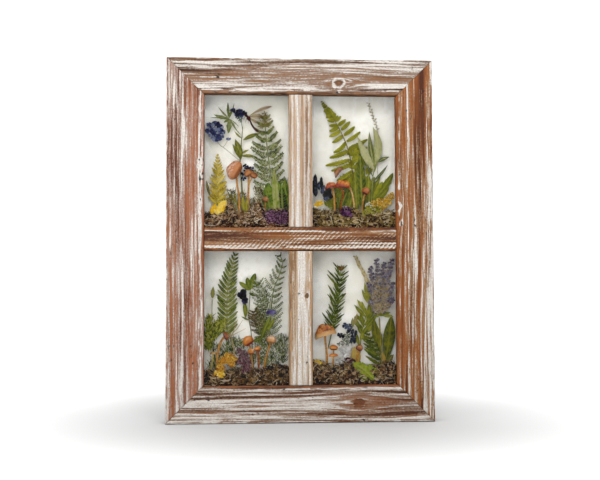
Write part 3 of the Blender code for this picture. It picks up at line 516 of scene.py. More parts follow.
def section_points(corners, step):
    """A closed outline with its corners kept and its sides cut into steps.

    Returns the points, their distance along the outline and the outward normal of each.
    """
    corners = np.asarray(corners, float)
    after = np.roll(corners, -1, axis=0)
    points, normals, runs = ([], [], [])
    run = 0
    for a, b in zip(corners, after):
        length = np.linalg.norm(b - a)
        cuts = max(1, round(length / step))
        t = np.arange(cuts)[:, None] / cuts
        points.append(a + (b - a) * t)
        normals.append(np.repeat([[(b - a)[1], -(b - a)[0]]] / length, cuts, axis=0))
        runs.append(run + t[:, 0] * length)
        run += length
    points, normals = (np.concatenate(points), np.concatenate(normals))
    normals = unit(normals + np.roll(normals, 1, axis=0))
    return points, np.concatenate(runs), normals


STILE_WIDTH = STILE_HIGH[0] - STILE_LOW[0]
RAIL_WIDTH = RAIL_HIGH[2] - RAIL_LOW[2]
PANEL_WIDTH = -2 * STILE_LOW[0]
PANEL_HEIGHT = STILE_HIGH[2] - STILE_LOW[2]
FACE_Y = STILE_LOW[1]
FRAME_DEPTH = STILE_HIGH[1] - STILE_LOW[1]
GAP = 0.3
LIP_DEPTH = FRONT_Y - GAP - FACE_Y
REBATE = STILE_HIGH[0] - CASTING_LOW[0] + GAP
WORN_EDGE = 0.9
WEB_BACK = CROSS_HIGH[1] - FACE_Y
GRAIN_STEP = 0.55


def outer_section(width):
    """Section of an outer member, as distance in from its outer edge and depth behind its face."""
    e = WORN_EDGE
    inner = width - REBATE
    return [(e, 0), (width - e, 0), (width, e), (width, LIP_DEPTH), (inner, LIP_DEPTH),
        (inner, FRAME_DEPTH - e), (inner - e, FRAME_DEPTH), (e, FRAME_DEPTH), (0, FRAME_DEPTH - e), (0, e)]


def bar_section(width):
    """T-shaped section of an inner bar, as distance across its face and depth behind it."""
    e = WORN_EDGE
    return [(e, 0), (width - e, 0), (width, e), (width, LIP_DEPTH), (width - REBATE, LIP_DEPTH),
        (width - REBATE, WEB_BACK), (REBATE, WEB_BACK), (REBATE, LIP_DEPTH), (0, LIP_DEPTH), (0, e)]


# Each member: its axis, its width, whether its ends are mitred, the seed and the strengths of its
# pattern, and its three colours: dark and warm stain, and thin wash. Places are along the member's
# axis and around its section, from the start of its face.
MEMBERS = {"top_rail": dict(margin=3.2, axis="x", width=RAIL_WIDTH, mitred=True, seed=11, lime=0.38,
    stain=0.42, band=8, contrast=1, knots=[(41, 25, 4.6, 3.4, 0.9)], slashes=0, stripes=[(36, 2, 0.3)],
    chips=[(-30, 36, 1.6), (40, 35, 1.6), (118, 35, 1.8)], colours="482c1a 8c603e 8e7a6c"),
    "bottom_rail": dict(margin=1.6, axis="x", width=RAIL_WIDTH, mitred=True, seed=23, lime=0.46, stain=0.4,
    band=9, contrast=1, knots=[(60.6, 18.5, 5.2, 3.6, 0)], slashes=0, chips=[],
    stripes=[(33, 2.2, 0.35), (4, 2, 0.3)], colours="502c16 8c5430 967e6c"),
    "left_stile": dict(margin=2.6, axis="z", width=STILE_WIDTH, mitred=True, seed=37, lime=0.34,
    stain=0.55, band=9, contrast=1, knots=[], slashes=0, stripes=[(36.5, 1.6, 0.5)],
    chips=[(272, 34.5, 4.2), (258, 37, 2.6)], colours="62341e 9e603e a4887a"),
    "right_stile": dict(margin=1.7, axis="z", width=STILE_WIDTH, mitred=True, seed=41, lime=0.16,
    stain=0.58, band=11, contrast=1.15, knots=[(227, 38, 3.6, 4.2, 0.9)], slashes=0,
    chips=[(248, 36, 1.8), (210, 33.6, 2.4)], stripes=[(26.5, 1.3, 0.8), (19, 1, 0.5), (3.5, 3.5, 0.45)],
    colours="522608 945220 9e7c5c"), "cross_bar": dict(margin=2.4, axis="x",
    width=CROSS_HIGH[2] - CROSS_LOW[2], mitred=False, seed=53, lime=0.1, stain=0.45, band=9, contrast=0.8,
    knots=[], slashes=0.85, sawn=(-110, 10), chips=[], stripes=[(3.2, 2.6, 0.95), (7, 1.2, 0.5)],
    colours="52280e 925626 9c7a58"), "upper_mullion": dict(margin=2.2, axis="z",
    width=MULLION_HIGH[0] - MULLION_LOW[0], mitred=False, seed=67, lime=0.62, stain=0.72, band=6,
    contrast=1.1, knots=[], slashes=0, chips=[], stripes=[(3.4, 1.2, 0.35)],
    colours="886a52 b8987a c4b6a8"), "lower_mullion": dict(margin=2.2, axis="z",
    width=MULLION_HIGH[0] - MULLION_LOW[0], mitred=False, seed=71, lime=0.54, stain=0.66, band=6,
    contrast=1.1, knots=[(132.6, 17.8, 2.8, 3, 0.4)], slashes=0, stripes=[(9, 1.6, 0.3)], chips=[],
    colours="7a5a3e b48c64 beaa92")}

def wood_member(name, spec):
    """One member: its section carried along its length, with the pattern's relief cut into it."""
    section = outer_section(spec["width"]) if spec["mitred"] else bar_section(spec["width"])
    outline, run, normals = section_points(section, GRAIN_STEP)
    low, high = box_mm(name)
    axis = 0 if spec["axis"] == "x" else 2
    length = high[axis] - low[axis]
    middle = (high[axis] + low[axis]) / 2
    if spec["mitred"]:
        length = (PANEL_WIDTH if axis == 0 else PANEL_HEIGHT) - GAP
    else:
        length -= 2 * (REBATE - GAP)
    cuts = max(8, round(settings().grain_cuts * length / PANEL_HEIGHT))
    share = np.linspace(-0.5, 0.5, cuts)[:, None]
    inward = outline[:, 0] if spec["mitred"] else np.zeros(len(outline))
    along = middle + share * (length - 2 * inward)
    around = np.broadcast_to(run, along.shape)
    lime, stain, shaded_pit, groove = wood_pattern(along, around, spec)
    face = ramp(outline[:, 1], LIP_DEPTH, 0)
    inner = outline[:, 0] > 0.5 * spec["width"] if spec["mitred"] else True
    worn = grain(along / 6, around / 3, spec["seed"] + 12)
    margin = spec["width"] - outline[:, 0]
    if not spec["mitred"]:
        margin = np.minimum(margin, outline[:, 0])
    band = spec["margin"] * (0.7 + 0.6 * worn)
    bare = np.maximum(ramp(outline[:, 1], 0.9, 2) * inner, ramp(margin, band + 0.8, band) * face)
    arris = np.exp(-((outline[:, 0] - section[0][0] + 0.4)**2 + outline[:, 1]**2) / 1.6) * spec["mitred"]
    arris = arris + 0.7 * np.exp(-(margin - band - 1.6)**2 / 1.2) * face
    lime = lime - 0.75 * bare + 0.75 * arris * ramp(worn, 0.25, 0.6)
    stain = np.maximum(stain, (0.15 + 0.7 * worn) * bare)
    relief = settings().relief / MM * groove * (0.35 + 0.65 * face)
    relief = relief + 0.45 * arris * ramp(worn, 0.45, 0.95)
    across = outline[:, 0] - relief * normals[:, 0]
    depth = outline[:, 1] - relief * normals[:, 1]
    if spec["mitred"]:
        sign = 1 if name in ("top_rail", "right_stile") else -1
        half = (PANEL_HEIGHT if axis == 0 else PANEL_WIDTH) / 2
        centre = PANEL_HEIGHT / 2 if axis == 0 else 0
        place = centre + sign * (half - across)
    else:
        place = low[2 - axis] + across
    points = np.stack((along if axis == 0 else place, FACE_Y + depth, place if axis == 0 else along), -1)
    part = outward(grid_part(points, along=lime, across=stain, tone=shaded_pit))
    material = limed_wood_material("limed_" + name, *spec["colours"].split(), spec["axis"])
    make_piece(name + "_brushed", [part], [material], "limed_wood", name, sharp=0,
        values=("lime", "stain", "shaded_pit"))


# Plant materials


OPEN_LIGHT = 1.95
PLANT_LIGHT = 2
VEIL = 0.03


def shade(colour, share=1):
    """Albedo that shows as a display colour of 0 to 255 once it lies in clear resin.

    A display value is turned into light by its power of 2.2. Of the light on a surface of albedo
    a inside resin, 0.36 a / (1 - 0.6 a) comes out again, and the reflection on its face adds VEIL.
    """
    light = [max((share * c / 255)**2.2 - VEIL, 0.002) / PLANT_LIGHT for c in bytes.fromhex(colour)]
    return tuple((min(v / (0.36 + 0.6 * v), 0.95) for v in light))


def palette(tree, value, colours):
    """A colour between evenly spaced colours, read at a value from 0 to 1."""
    node = add_node(tree, "ValToRGB", {0: value})
    stops = node.color_ramp.elements
    shades = [opaque(shade(colour)) for colour in colours.split()]
    stops[0].color, stops[1].color = (shades[0], shades[-1])
    for k, colour in enumerate(shades[1:-1], start=1):
        stops.new(k / (len(shades) - 1)).color = colour
    return node.outputs[0]


def leaf_skin(name, colours, rib=None, veins=0, tip=None, foot=None, roughness=0.5, mottle=450, spread=0.7,
        blotch=1.7, relief=0.35):
    """Skin of dried leaves or petals.

    The colour is read from colours, dark to light, by each leaf's own tone and by noise. rib is
    the colour of its middle line, veins the number of lines that leave it on each side, and tip
    and foot are the colours of its ends.
    """
    material, tree, shader = new_material(name)
    clouds = noise(tree, mottle, 4)
    value = times_plus(tree, surface_value(tree, "tone"), spread, 0.5 - 0.5 * spread - 0.5 * blotch)
    value = times_plus(tree, clouds, blotch, value)
    colour = palette(tree, value, colours)
    across = number(tree, "ABSOLUTE", surface_value(tree, "across"))
    along = surface_value(tree, "along")
    height = number(tree, "MULTIPLY", clouds, 0.8)
    if veins:
        wave = times_plus(tree, across, -1.1, number(tree, "MULTIPLY", along, float(veins)))
        wave = number(tree, "SINE", number(tree, "MULTIPLY", wave, 2 * math.pi))
        line = eased(tree, wave, 0.55, 0.98)
        colour = blend(tree, number(tree, "MULTIPLY", line, 0.4), colour,
            shade(rib or colours.split()[-1]))
        height = times_plus(tree, line, -0.5, height)
    if tip:
        colour = blend(tree, eased(tree, along, 0.62, 1, 0, 0.85), colour, shade(tip))
    if foot:
        colour = blend(tree, eased(tree, along, 0.35, 0, 0, 0.85), colour, shade(foot))
    if rib:
        colour = blend(tree, eased(tree, across, 0.26, 0.08, 0, 0.8), colour, shade(rib))
        height = times_plus(tree, eased(tree, across, 0.3, 0.05), 0.7, height)
    tree.links.new(colour, shader.inputs["Base Color"])
    surface(shader, Roughness=roughness, Specular_IOR_Level=0.08)
    bump(tree, shader, height, relief, 0.0004)
    return material


def cap_skin(name, top, rim, gills, spots=None):
    """Skin of a mushroom's cap: gills below, striped with painted shade between them, a rim band, and a top
    mottled by noise.
    """
    material, tree, shader = new_material(name)
    along = surface_value(tree, "along")
    patches = noise(tree, 260, 5, distortion=0.5)
    fine = noise(tree, 1300, 3)
    value = times_plus(tree, fine, 0.7, times_plus(tree, patches, 1.8, -0.75))
    colour = palette(tree, value, top)
    if spots:
        colour = blend(tree, eased(tree, noise(tree, 420, 3), 0.5, 0.6, 0, 0.85), colour, shade(spots))
    colour = blend(tree, eased(tree, along, 0.56, 0.46, 0, 0.85), colour, shade(rim))
    lines = number(tree, "SINE", number(tree, "MULTIPLY", surface_value(tree, "across"), 60))
    # Painted shade: the gills are striped with their own colour at half its brightness, the shade between
    # them.
    under = blend(tree, eased(tree, lines, 0, 0.9, 0, 0.6), shade(gills), shade(gills, 0.5))
    colour = blend(tree, eased(tree, along, 0.4, 0.33), colour, under)
    tree.links.new(colour, shader.inputs["Base Color"])
    surface(shader, Roughness=0.42, Specular_IOR_Level=0.35)
    bump(tree, shader, times_plus(tree, fine, 0.5, patches), 0.5, 0.0006)
    return material


def wing_skin():
    """Thin wings: straw with darker veins, browner to the tip and partly clear."""
    material = leaf_skin("insect_wing", "96805c cdba94", rib="60422c", veins=7, tip="70543c", mottle=700)
    material.node_tree.nodes["Principled BSDF"].inputs["Transmission Weight"].default_value = 0.25
    return material


# Plant forms


def draws(seed, *shape, low=0, high=1):
    """Repeatable random numbers between low and high."""
    return np.random.default_rng(seed).uniform(low, high, shape)


def in_plane_side(paths, tilt=0):
    """The direction to the left of each path in the pane's plane, turned out of it by tilt."""
    tangent = unit(np.gradient(np.asarray(paths, float), axis=1))
    side = np.stack((-tangent[..., 2], 0 * tangent[..., 1], tangent[..., 0]), -1)
    tilt = np.reshape(tilt, (-1, 1, 1))
    return unit(unit(side) * np.cos(tilt) + np.array((0, 1, 0)) * np.sin(tilt))


def leaves(bases, tips, widths, bends=0, depth=10, steps=9, ring=6, fullest=0.45, blunt=1, lobes=0,
        notch=0.35, thick=0.14, cup=0, curl=0, tilt=0, tone=None, seed=0, material=0):
    """Pressed leaves, many at once.

    A middle line runs from base to tip, bowed sideways by bend * sin(pi s) and back by curl * s^2.
    The half width is width / 2 * sin(pi s^p)^blunt, where p puts the widest place at fullest, less
    notch * |cos(pi * lobes * s)| where the leaf is lobed.
    """
    bases, tips = (np.atleast_2d(np.asarray(bases, float)), np.atleast_2d(np.asarray(tips, float)))
    count = max(len(bases), len(tips))
    bases, tips = (np.broadcast_to(bases, (count, 2)), np.broadcast_to(tips, (count, 2)))
    widths, bends, depth, curl = (np.broadcast_to(v, (count,))[:, None] for v in (widths, bends, depth,
        curl))
    s = np.linspace(0, 1, steps)
    line = tips - bases
    left = unit(np.stack((-line[:, 1], line[:, 0]), -1))
    middle = bases[:, None] + line[:, None] * s[:, None] + left[:, None] * (bends
        * np.sin(math.pi * s))[..., None]
    paths = in_pane(middle, depth + curl * s**2)
    power = math.log(0.5) / math.log(fullest)
    form = np.sin(math.pi * np.clip(s**power, 0, 1))**blunt
    if lobes:
        form = form * (1 - notch * np.abs(np.cos(math.pi * lobes * s)))
    half = widths / 2 * form
    if tone is None:
        tone = draws(seed + 900, count)
    return tubes(paths, in_plane_side(paths, tilt), half, thick * np.sqrt(np.clip(form, 0.02, 1)), ring,
        cup, tone, material)


def stem(points, start_width, end_width, depth=STEM_DEPTH, steps=18, ring=7, tone=0.5, material=0):
    """A round stalk along a smooth curve through (x, z) points, tapering evenly, at one depth or two."""
    flat = curve_points(points, np.linspace(0, 1, steps))
    start_depth, end_depth = np.broadcast_to(depth, (2,))
    share = np.linspace(0, 1, steps)
    path = in_pane(flat, start_depth + (end_depth - start_depth) * share)[None]
    half = (start_width + (end_width - start_width) * share)[None] / 2
    return tubes(path, in_plane_side(path), half, half, ring, tone=tone, material=material)


def along_spine(spine, shares):
    """Points on a spine and its heading there, as an angle."""
    points = curve_points(spine, shares)
    ahead = curve_points(spine, np.clip(shares + 0.01, 0, 1)) - curve_points(spine,
        np.clip(shares - 0.01, 0, 1))
    return points, np.arctan2(ahead[:, 1], ahead[:, 0])


def leaflets(spine, pairs, left, right, lean, start, wander=0.06):
    """Feet, tips, reaches and sides of the pairs of leaflets along a spine, a little uneven by wander."""
    shares = start + (1 - start) * (np.arange(pairs) + 0.4) / pairs
    feet, heading = along_spine(spine, shares)
    feet, heading, shares = (np.tile(feet, (2, 1)), np.tile(heading, 2), np.tile(shares, 2))
    side = np.repeat((1, -1), pairs)
    reach = np.concatenate([np.interp(shares[:pairs], np.linspace(0, 1, len(r)), r) for r in (left,
        right)])
    reach = reach * (1 + wander * draws(pairs, len(feet), low=-1.6))
    lean = np.radians(lean[0] + (lean[1] - lean[0]) * shares)
    angle = heading + side * lean * (1 + wander * draws(pairs + 1, len(feet), low=-1.6, high=1.6))
    tips = feet + reach[:, None] * compass(angle)
    return feet, tips, reach, side


def frond(spine, pairs, left, right, lean, depth, start=0.2, fill=0.8, stalk=(1.4, 0.5), lobes=0,
        notch=0.3, bow=0.1, steps=10, seed=0, fullest=0.32, blunt=0.62, wander=0.06):
    """A fern: a stalk and pairs of narrow leaflets that bow towards its tip.

    left and right are the leaflets' lengths at even steps of the stalk, lean their angle to it at
    the foot and the tip in degrees, and fill the share of the space between two feet that they take.
    """
    spine = np.asarray(spine, float)
    feet, tips, reach, side = leaflets(spine, pairs, left, right, lean, start, wander)
    length = np.linalg.norm(np.diff(spine, axis=0), axis=1).sum()
    width = fill * (1 - start) * length / pairs * (0.45 + 0.55 * reach / reach.max())
    wobble = draws(seed, len(feet), low=-1)
    blades = leaves(feet, tips, width, side * reach * bow, depth + 0.25 * wobble, steps, 6, fullest, blunt,
        lobes, notch, curl=0.5 * draws(seed + 1, len(feet), low=-1), tilt=0.25 * draws(seed + 2, len(feet),
        low=-1), cup=-0.12, seed=seed)
    return [stem(spine, *stalk, depth, steps=24, tone=0.8), blades]


def feathery(spine, pairs, left, right, lean, depth, start=0.2, lobules=9, spread=0.24, seed=0,
        stalk=(1.3, 0.5), lobe_width=0.9):
    """A twice-cut spray: thin side stalks off a spine, each with pairs of short lobes."""
    feet, tips, reach, side = leaflets(spine, pairs, left, right, lean, start)
    line = tips - feet
    left_of = unit(np.stack((-line[:, 1], line[:, 0]), -1))
    bow = side * reach * 0.05
    stalks = leaves(feet, tips, 0.7, bow, depth, 9, 5, 0.2, 0.4, thick=0.22, tone=0.75)
    s = (np.arange(lobules) + 0.8) / (lobules + 0.2)
    foot = feet[:, None] + line[:, None] * s[:, None] + left_of[:, None] * (bow[:,
        None] * np.sin(math.pi * s))[..., None]
    size = spread * reach[:, None] * (1 - 0.62 * s) * (0.75 + 0.5 * draws(seed + 3, len(feet), lobules))
    blades = []
    for turn in (1, -1):
        angle = np.radians(turn * (52 - 14 * s)) + np.arctan2(line[:, 1], line[:, 0])[:, None]
        tip = foot + size[..., None] * compass(angle)
        jitter = 0.35 * draws(seed + 4 + turn, tip.shape[0] * lobules, low=-1)
        blades.append(leaves(foot.reshape(-1, 2), tip.reshape(-1, 2), lobe_width, 0, depth + jitter, 6, 5,
            0.55, 0.6, lobes=2, notch=0.3, thick=0.12, seed=seed + turn))
    return [stem(spine, *stalk, depth, steps=24, tone=0.8), stalks, *blades]


def petals(centres, radius, count=5, depth=5, seed=0, width=0.75, lift=-0.5, fullest=0.62, blunt=0.7,
        steps=6, scatter=0.4, material=0):
    """Blossoms: petals set evenly round each centre, turned at random and cupped to the viewer."""
    centres = np.atleast_2d(np.asarray(centres, float))
    blooms = len(centres)
    turn = draws(seed, blooms, high=2 * math.pi)[:, None]
    angle = turn + 2 * math.pi * np.arange(count) / count + draws(seed + 1, blooms, count, low=-0.25,
        high=0.25)
    size = np.broadcast_to(radius, (blooms,))[:, None] * draws(seed + 2, blooms, count, low=0.75, high=1.1)
    squash = draws(seed + 3, blooms, low=0.6, high=1)[:, None]
    reach = np.stack((np.cos(angle), np.sin(angle) * squash), -1) * size[..., None]
    feet = np.repeat(centres, count, axis=0)
    places = np.repeat(depth + scatter * draws(seed + 4, blooms, low=-1), count)
    return leaves(feet, feet + reach.reshape(-1, 2), size.reshape(-1) * width, 0, places, steps, 6,
        fullest, blunt, thick=0.13, cup=-0.25, curl=lift * size.reshape(-1), seed=seed + 5,
        tilt=draws(seed + 6, blooms * count, low=-0.5, high=0.5), material=material)


CAP_ROWS = ((-0.1, 0.06), (-0.16, 0.35), (-0.3, 0.74), (-0.4, 0.95), (-0.36, 1), (-0.22, 1), (0.12, 0.89),
    (0.34, 0.62), (0.46, 0.32), (0.5, 0.03))


ROUND_ROWS = ((-0.46, 0.04), (-0.47, 0.3), (-0.42, 0.62), (-0.28, 0.88), (-0.06, 1), (0.18, 0.96),
    (0.38, 0.72), (0.48, 0.38), (0.5, 0.03))


def mushroom(seed, stem_points, stem_radius, cap, radius, height, lean, deep, form=ROUND_ROWS,
        crumple=0.05, rows=26, columns=48, gills=24):
    """A dried mushroom: a stalk, and a cap turned round its axis from its gills over the rim to its crown.

    The cap's section is a smooth curve through the pairs of rise and spread of its form. Its rim waves by
    cosines of the angle, its gills are a cosine of many times the angle, and noise dents its top.
    """
    axis = math.radians(lean)
    middle = STEM_DEPTH + 0.9 - deep
    under = (cap[0] - 0.12 * height * math.cos(axis), cap[1] - 0.12 * height * math.sin(axis))
    flat = curve_points([*stem_points, under], np.linspace(0, 1, 26))
    share = np.linspace(0, 1, 26)
    path = in_pane(flat, STEM_DEPTH + (middle - STEM_DEPTH) * share**3)[None]
    swell = 1.15 - 0.25 * share + 0.12 * (lattice_noise(share[:, None] * 7, seed + 5) - 0.5)
    half = (stem_radius * swell)[None]
    stalk = tubes(path, in_plane_side(path), half, np.minimum(half, 0.95), 12, tone=draws(seed, 1),
        material=1)
    section = curve_points(form, np.linspace(0, 1, rows))
    t = np.linspace(0, 1, rows)[:, None]
    a = 2 * math.pi * np.arange(columns) / columns
    edge = ramp(t, 0.15, 0.45) * ramp(t, 1, 0.6)
    phase = draws(seed + 1, 3, high=2 * math.pi)
    wave = 1 + edge * (0.05 * np.cos(3 * a + phase[0]) + 0.04 * np.cos(5 * a + phase[1]))
    dents = lattice_noise(np.stack((np.cos(a) * section[:, 1:] * 2.6, np.sin(a) * section[:, 1:] * 2.6,
        t * 3 + 0 * a), -1), seed + 2) - 0.5
    fold = 0.03 * np.cos(gills * a) * ramp(t, 0, 0.08) * ramp(t, 0.34, 0.22)
    rise = section[:, :1] + 0.05 * edge * np.cos(2 * a + phase[2]) + fold + crumple * 2 * dents * ramp(t,
        0.3, 0.6)
    spread = section[:, 1:] * wave * (1 + crumple * dents)
    out = radius * spread * np.cos(a)
    points = np.stack((cap[0] + rise * height * math.cos(axis) - out * math.sin(axis),
        middle + deep * spread * np.sin(a), cap[1] + rise * height * math.sin(axis) + out
        * math.cos(axis)), -1)
    top = outward(grid_part(points, along=t + 0 * a, across=np.cos(a) + 0 * t, tone=0.5 + dents))
    return [stalk, top]


BED_FOOT = -3


def bed_top(ridge, xs):
    """Height of a moss bed's top at xs, eased between the points of its ridge."""
    order = np.arange(len(ridge))
    place = np.interp(xs, [p[0] for p in ridge], order)
    past = place - np.floor(place)
    return np.interp(np.floor(place) + past**2 * (3 - 2 * past), order, [p[1] for p in ridge])


def moss_mound(ridge, seed):
    """The body of a bed: a lumpy section carried along its width, its front and top moved by noise."""
    xs = np.linspace(ridge[0][0], ridge[-1][0], 150)
    top = bed_top(ridge, xs)
    front = np.linspace(0, 1, 26)
    share = np.concatenate((front, np.ones(8), [0]))
    back = np.concatenate((0.9 * front**6, np.linspace(0.1, 1, 8), [1]))
    z = BED_FOOT + share * (top[:, None] - BED_FOOT)
    depth = BED_FRONT + back * (BED_BACK - BED_FRONT) + 0 * z
    where = np.stack((xs[:, None] + 0 * z, z, depth), -1)
    lump = lattice_noise(where / 3.1, seed) + 0.6 * lattice_noise(where / 1.3, seed + 1)
    depth = np.clip(depth - 1.6 * (lump - 0.8) * (share < 1), BED_FRONT - 1.2, BED_BACK)
    z = z + 2.2 * (lump - 0.8) * ramp(share, 0.3, 1)
    points = np.stack((xs[:, None] + 0 * z, depth, z), -1)
    return outward(grid_part(points, along=0 * z + share, tone=np.clip(lump / 1.6, 0, 1)))


def litter(ridge, seed, count, length=(3, 9), width=(0.28, 0.75), steps=6, ring=4, material=1, low=0,
        over=1.4, flat=1):
    """Loose strands, twigs or flakes over a bed, each a bowed tube with its own place and heading."""
    number_of = np.random.default_rng(seed)
    x = number_of.uniform(0.5, SIGHT_WIDTH - 0.5, count)
    top = bed_top(ridge, x)
    z = BED_FOOT + 3.5 + (low + (1 - low) * number_of.uniform(0, 1, count)**0.8) * (top + over - 0.5)
    depth = np.where(z > top - 2.5, number_of.uniform(BED_FRONT - 0.6, BED_BACK + 1, count),
        number_of.uniform(BED_FRONT - 1.5, BED_FRONT + 0.3, count))
    heading = number_of.uniform(0, 2 * math.pi, count)
    reach = number_of.uniform(*length, count) / 2
    run = np.stack((np.cos(heading), 0.15 * number_of.uniform(-1, 1, count), 0.75 * np.sin(heading)), -1)
    bow = np.stack((-np.sin(heading), 0.3 * number_of.uniform(-1, 1, count), np.cos(heading)), -1)
    s = np.linspace(-1, 1, steps)
    middle = np.stack((x, depth, z), -1)
    bend = reach * number_of.uniform(-0.34, 0.34, count)
    paths = middle[:, None] + run[:, None] * (reach[:, None] * s)[..., None] + bow[:,
        None] * (bend[:, None] * (1 - s**2))[..., None]
    paths[..., 0] = np.clip(paths[..., 0], 0.2, SIGHT_WIDTH - 0.2)
    paths[..., 1] = np.clip(paths[..., 1], 1.7, 9.5)
    half = number_of.uniform(*width, count)[:, None] / 2 * np.sqrt(np.clip(1 - s**2, 0.15, 1))
    return tubes(paths, in_plane_side(paths), half, flat * half, ring, tone=number_of.uniform(0, 1, count),
        material=material)


# Castings


def clear_block(pane):
    """One casting: a block with rounded edges whose front is as gently wavy as a poured face.

    Its section runs round its depth and is carried along its height; the front is moved by noise.
    """
    low, high = box_mm(pane + "_casting_front")
    back = box_mm(pane + "_casting_back")[1]
    low, high = (low + 0.02, np.array((high[0], back[1], high[2])) - 0.02)
    columns, rows = (60, 90)
    edge = 0.5
    x = np.linspace(low[0] + edge, high[0] - edge, columns)
    z = np.linspace(low[2] + edge, high[2] - edge, rows)
    wave = lattice_noise(np.stack(np.meshgrid(x / 24, z / 24, indexing="xy"), -1), 90 + PANES.index(pane))
    rim = np.minimum.reduce(np.meshgrid(x - x[0], z - z[0], indexing="xy") + np.meshgrid(x[-1] - x,
        z[-1] - z, indexing="xy"))
    sag = 0.16 * (wave - 0.5) + 0.18 * np.exp(-rim / 2.5)
    front_y = low[1] + 0.15 + sag
    ones = np.ones((rows, 1))
    xx = np.broadcast_to(x, (rows, columns))
    zz = np.broadcast_to(z[:, None], (rows, columns))
    front = np.stack((xx, front_y, zz), -1)
    walls = [np.stack((ones * high[0], front_y[:, -1:] + edge, z[:, None]), -1),
        np.stack((ones * high[0], ones * high[1], z[:, None]), -1)]
    rear = np.stack((xx, np.full((rows, columns), high[1]), zz), -1)[:, ::-1][:, ::columns - 1]
    left = [np.stack((ones * low[0], ones * high[1], z[:, None]), -1), np.stack((ones * low[0],
        front_y[:, :1] + edge, z[:, None]), -1)]
    rings = np.concatenate((front, *walls, rear, *left), axis=1)
    foot, head = (rings[:1].copy(), rings[-1:].copy())
    foot[..., 2], head[..., 2] = (low[2], high[2])
    foot[..., 1] = np.clip(foot[..., 1], low[1] + edge, None)
    head[..., 1] = np.clip(head[..., 1], low[1] + edge, None)
    return outward(grid_part(np.concatenate((foot, rings, head))))


def signed_volume(part):
    """Six times the volume inside a part's faces, negative where they face inwards."""
    p = part["points"] - part["points"].mean(axis=0)
    q = part["quads"]
    corners = np.concatenate((part["tris"], q[:, [0, 1, 2]], q[:, [0, 2, 3]]))
    a, b, c = (p[corners[:, k]] for k in range(3))
    return float(np.sum(a * np.cross(b, c)))


def outward(part):
    """A closed part with its faces turned outwards."""
    if signed_volume(part) >= 0:
        return part
    return {**part, "quads": part["quads"][:, ::-1], "tris": part["tris"][:, ::-1]}


# Stage


CAMERA_PLACE = (-0.0731, -1.0646, 0.1381)
CAMERA_AIM = (0.0685, 0.9964, 0.0507)
CAMERA_ROLL = math.radians(-0.14)
CAMERA_LENS = 60


# Floor colour at the panel: a painted shade round its foot.
FLOOR_NEAR_SHADE = 0.36


def white_floor():
    """A wide pale floor just under the panel, painted a little darker near it so that its shadow shows:
    painted shade round its foot.
    """
    mesh = bpy.data.meshes.new("floor")
    reach = 6
    mesh.from_pydata([(-reach, -reach, 0), (reach, -reach, 0), (reach, reach, 0), (-reach, reach, 0)], [],
        [(0, 1, 2, 3)])
    floor = bpy.data.objects.new("floor", mesh)
    bpy.context.scene.collection.objects.link(floor)
    material, tree, shader = new_material("floor")
    place = add_node(tree, "TexCoord").outputs["Object"]
    reach = add_node(tree, "VectorMath", {0: place}, operation="LENGTH").outputs["Value"]
    # Painted shade: the floor is darker within about 0.6 m of the panel's middle, which deepens its shadow.
    paint = blend(tree, eased(tree, reach, 0.1, 0.62), (FLOOR_NEAR_SHADE,) * 3, (0.95,) * 3)
    path = add_node(tree, "LightPath").outputs
    mirrored = number(tree, "MULTIPLY", path["Is Glossy Ray"], path["Is Reflection Ray"])
    # Glossy reflection rays see the floor near-black, so the castings mirror no floor.
    tree.links.new(blend(tree, mirrored, paint, (0.05,) * 3), shader.inputs["Base Color"])
    surface(shader, Roughness=0.9)
    mesh.materials.append(material)


def soft_light(name, place, aim, size, power):
    """A square light that looks from its place to its aim, in metres and watts."""
    light = bpy.data.lights.new(name, "AREA")
    light.size = size
    light.energy = power
    lamp = bpy.data.objects.new(name, light)
    lamp.location = place
    lamp.rotation_euler = (Vector(aim) - Vector(place)).to_track_quat("-Z", "Y").to_euler()
    bpy.context.scene.collection.objects.link(lamp)


def photo_camera():
    """The camera at the photograph's place."""
    data = bpy.data.cameras.new("camera")
    data.lens = CAMERA_LENS
    data.clip_start = 0.01
    camera = bpy.data.objects.new("camera", data)
    camera.location = CAMERA_PLACE
    camera.rotation_euler = Vector(CAMERA_AIM).to_track_quat("-Z", "Y").to_euler()
    camera.rotation_euler.rotate_axis("Z", CAMERA_ROLL)
    bpy.context.scene.collection.objects.link(camera)
    bpy.context.scene.camera = camera


def white_world():
    """A white world that is dim towards the panel's front, where its castings would mirror it.

    The camera itself sees an even white.
    """
    world = bpy.data.worlds.new("studio")
    world.use_nodes = True
    tree = world.node_tree
    ahead = add_node(tree, "SeparateXYZ", {0: add_node(tree, "TexCoord").outputs["Generated"]}).outputs[1]
    dim = eased(tree, ahead, -0.97, -0.78, 0.12, 1)
    seen = add_node(tree, "LightPath").outputs["Is Camera Ray"]
    colour = blend(tree, seen, blend(tree, dim, (0, 0, 0), (1, 1, 1)), (1, 1, 1))
    tree.links.new(colour, tree.nodes["Background"].inputs["Color"])
    tree.nodes["Background"].inputs["Strength"].default_value = 1.4
    bpy.context.scene.world = world


# Operators


class PANEL_OT_wood(bpy.types.Operator):
    """Makes the seven limed wood members"""
    bl_idname = "botanical_panel.wood"
    bl_label = "Wood members"

    def execute(self, context):
        for name, spec in MEMBERS.items():
            wood_member(name, spec)
        return {"FINISHED"}


class PANEL_OT_backing(bpy.types.Operator):
    """Gives the backing board its mottled paint"""
    bl_idname = "botanical_panel.backing"
    bl_label = "Backing board"

    def execute(self, context):
        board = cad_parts["backing_board"]
        material = backing_material()
        for slot in board.material_slots:
            slot.material = material
        return {"FINISHED"}


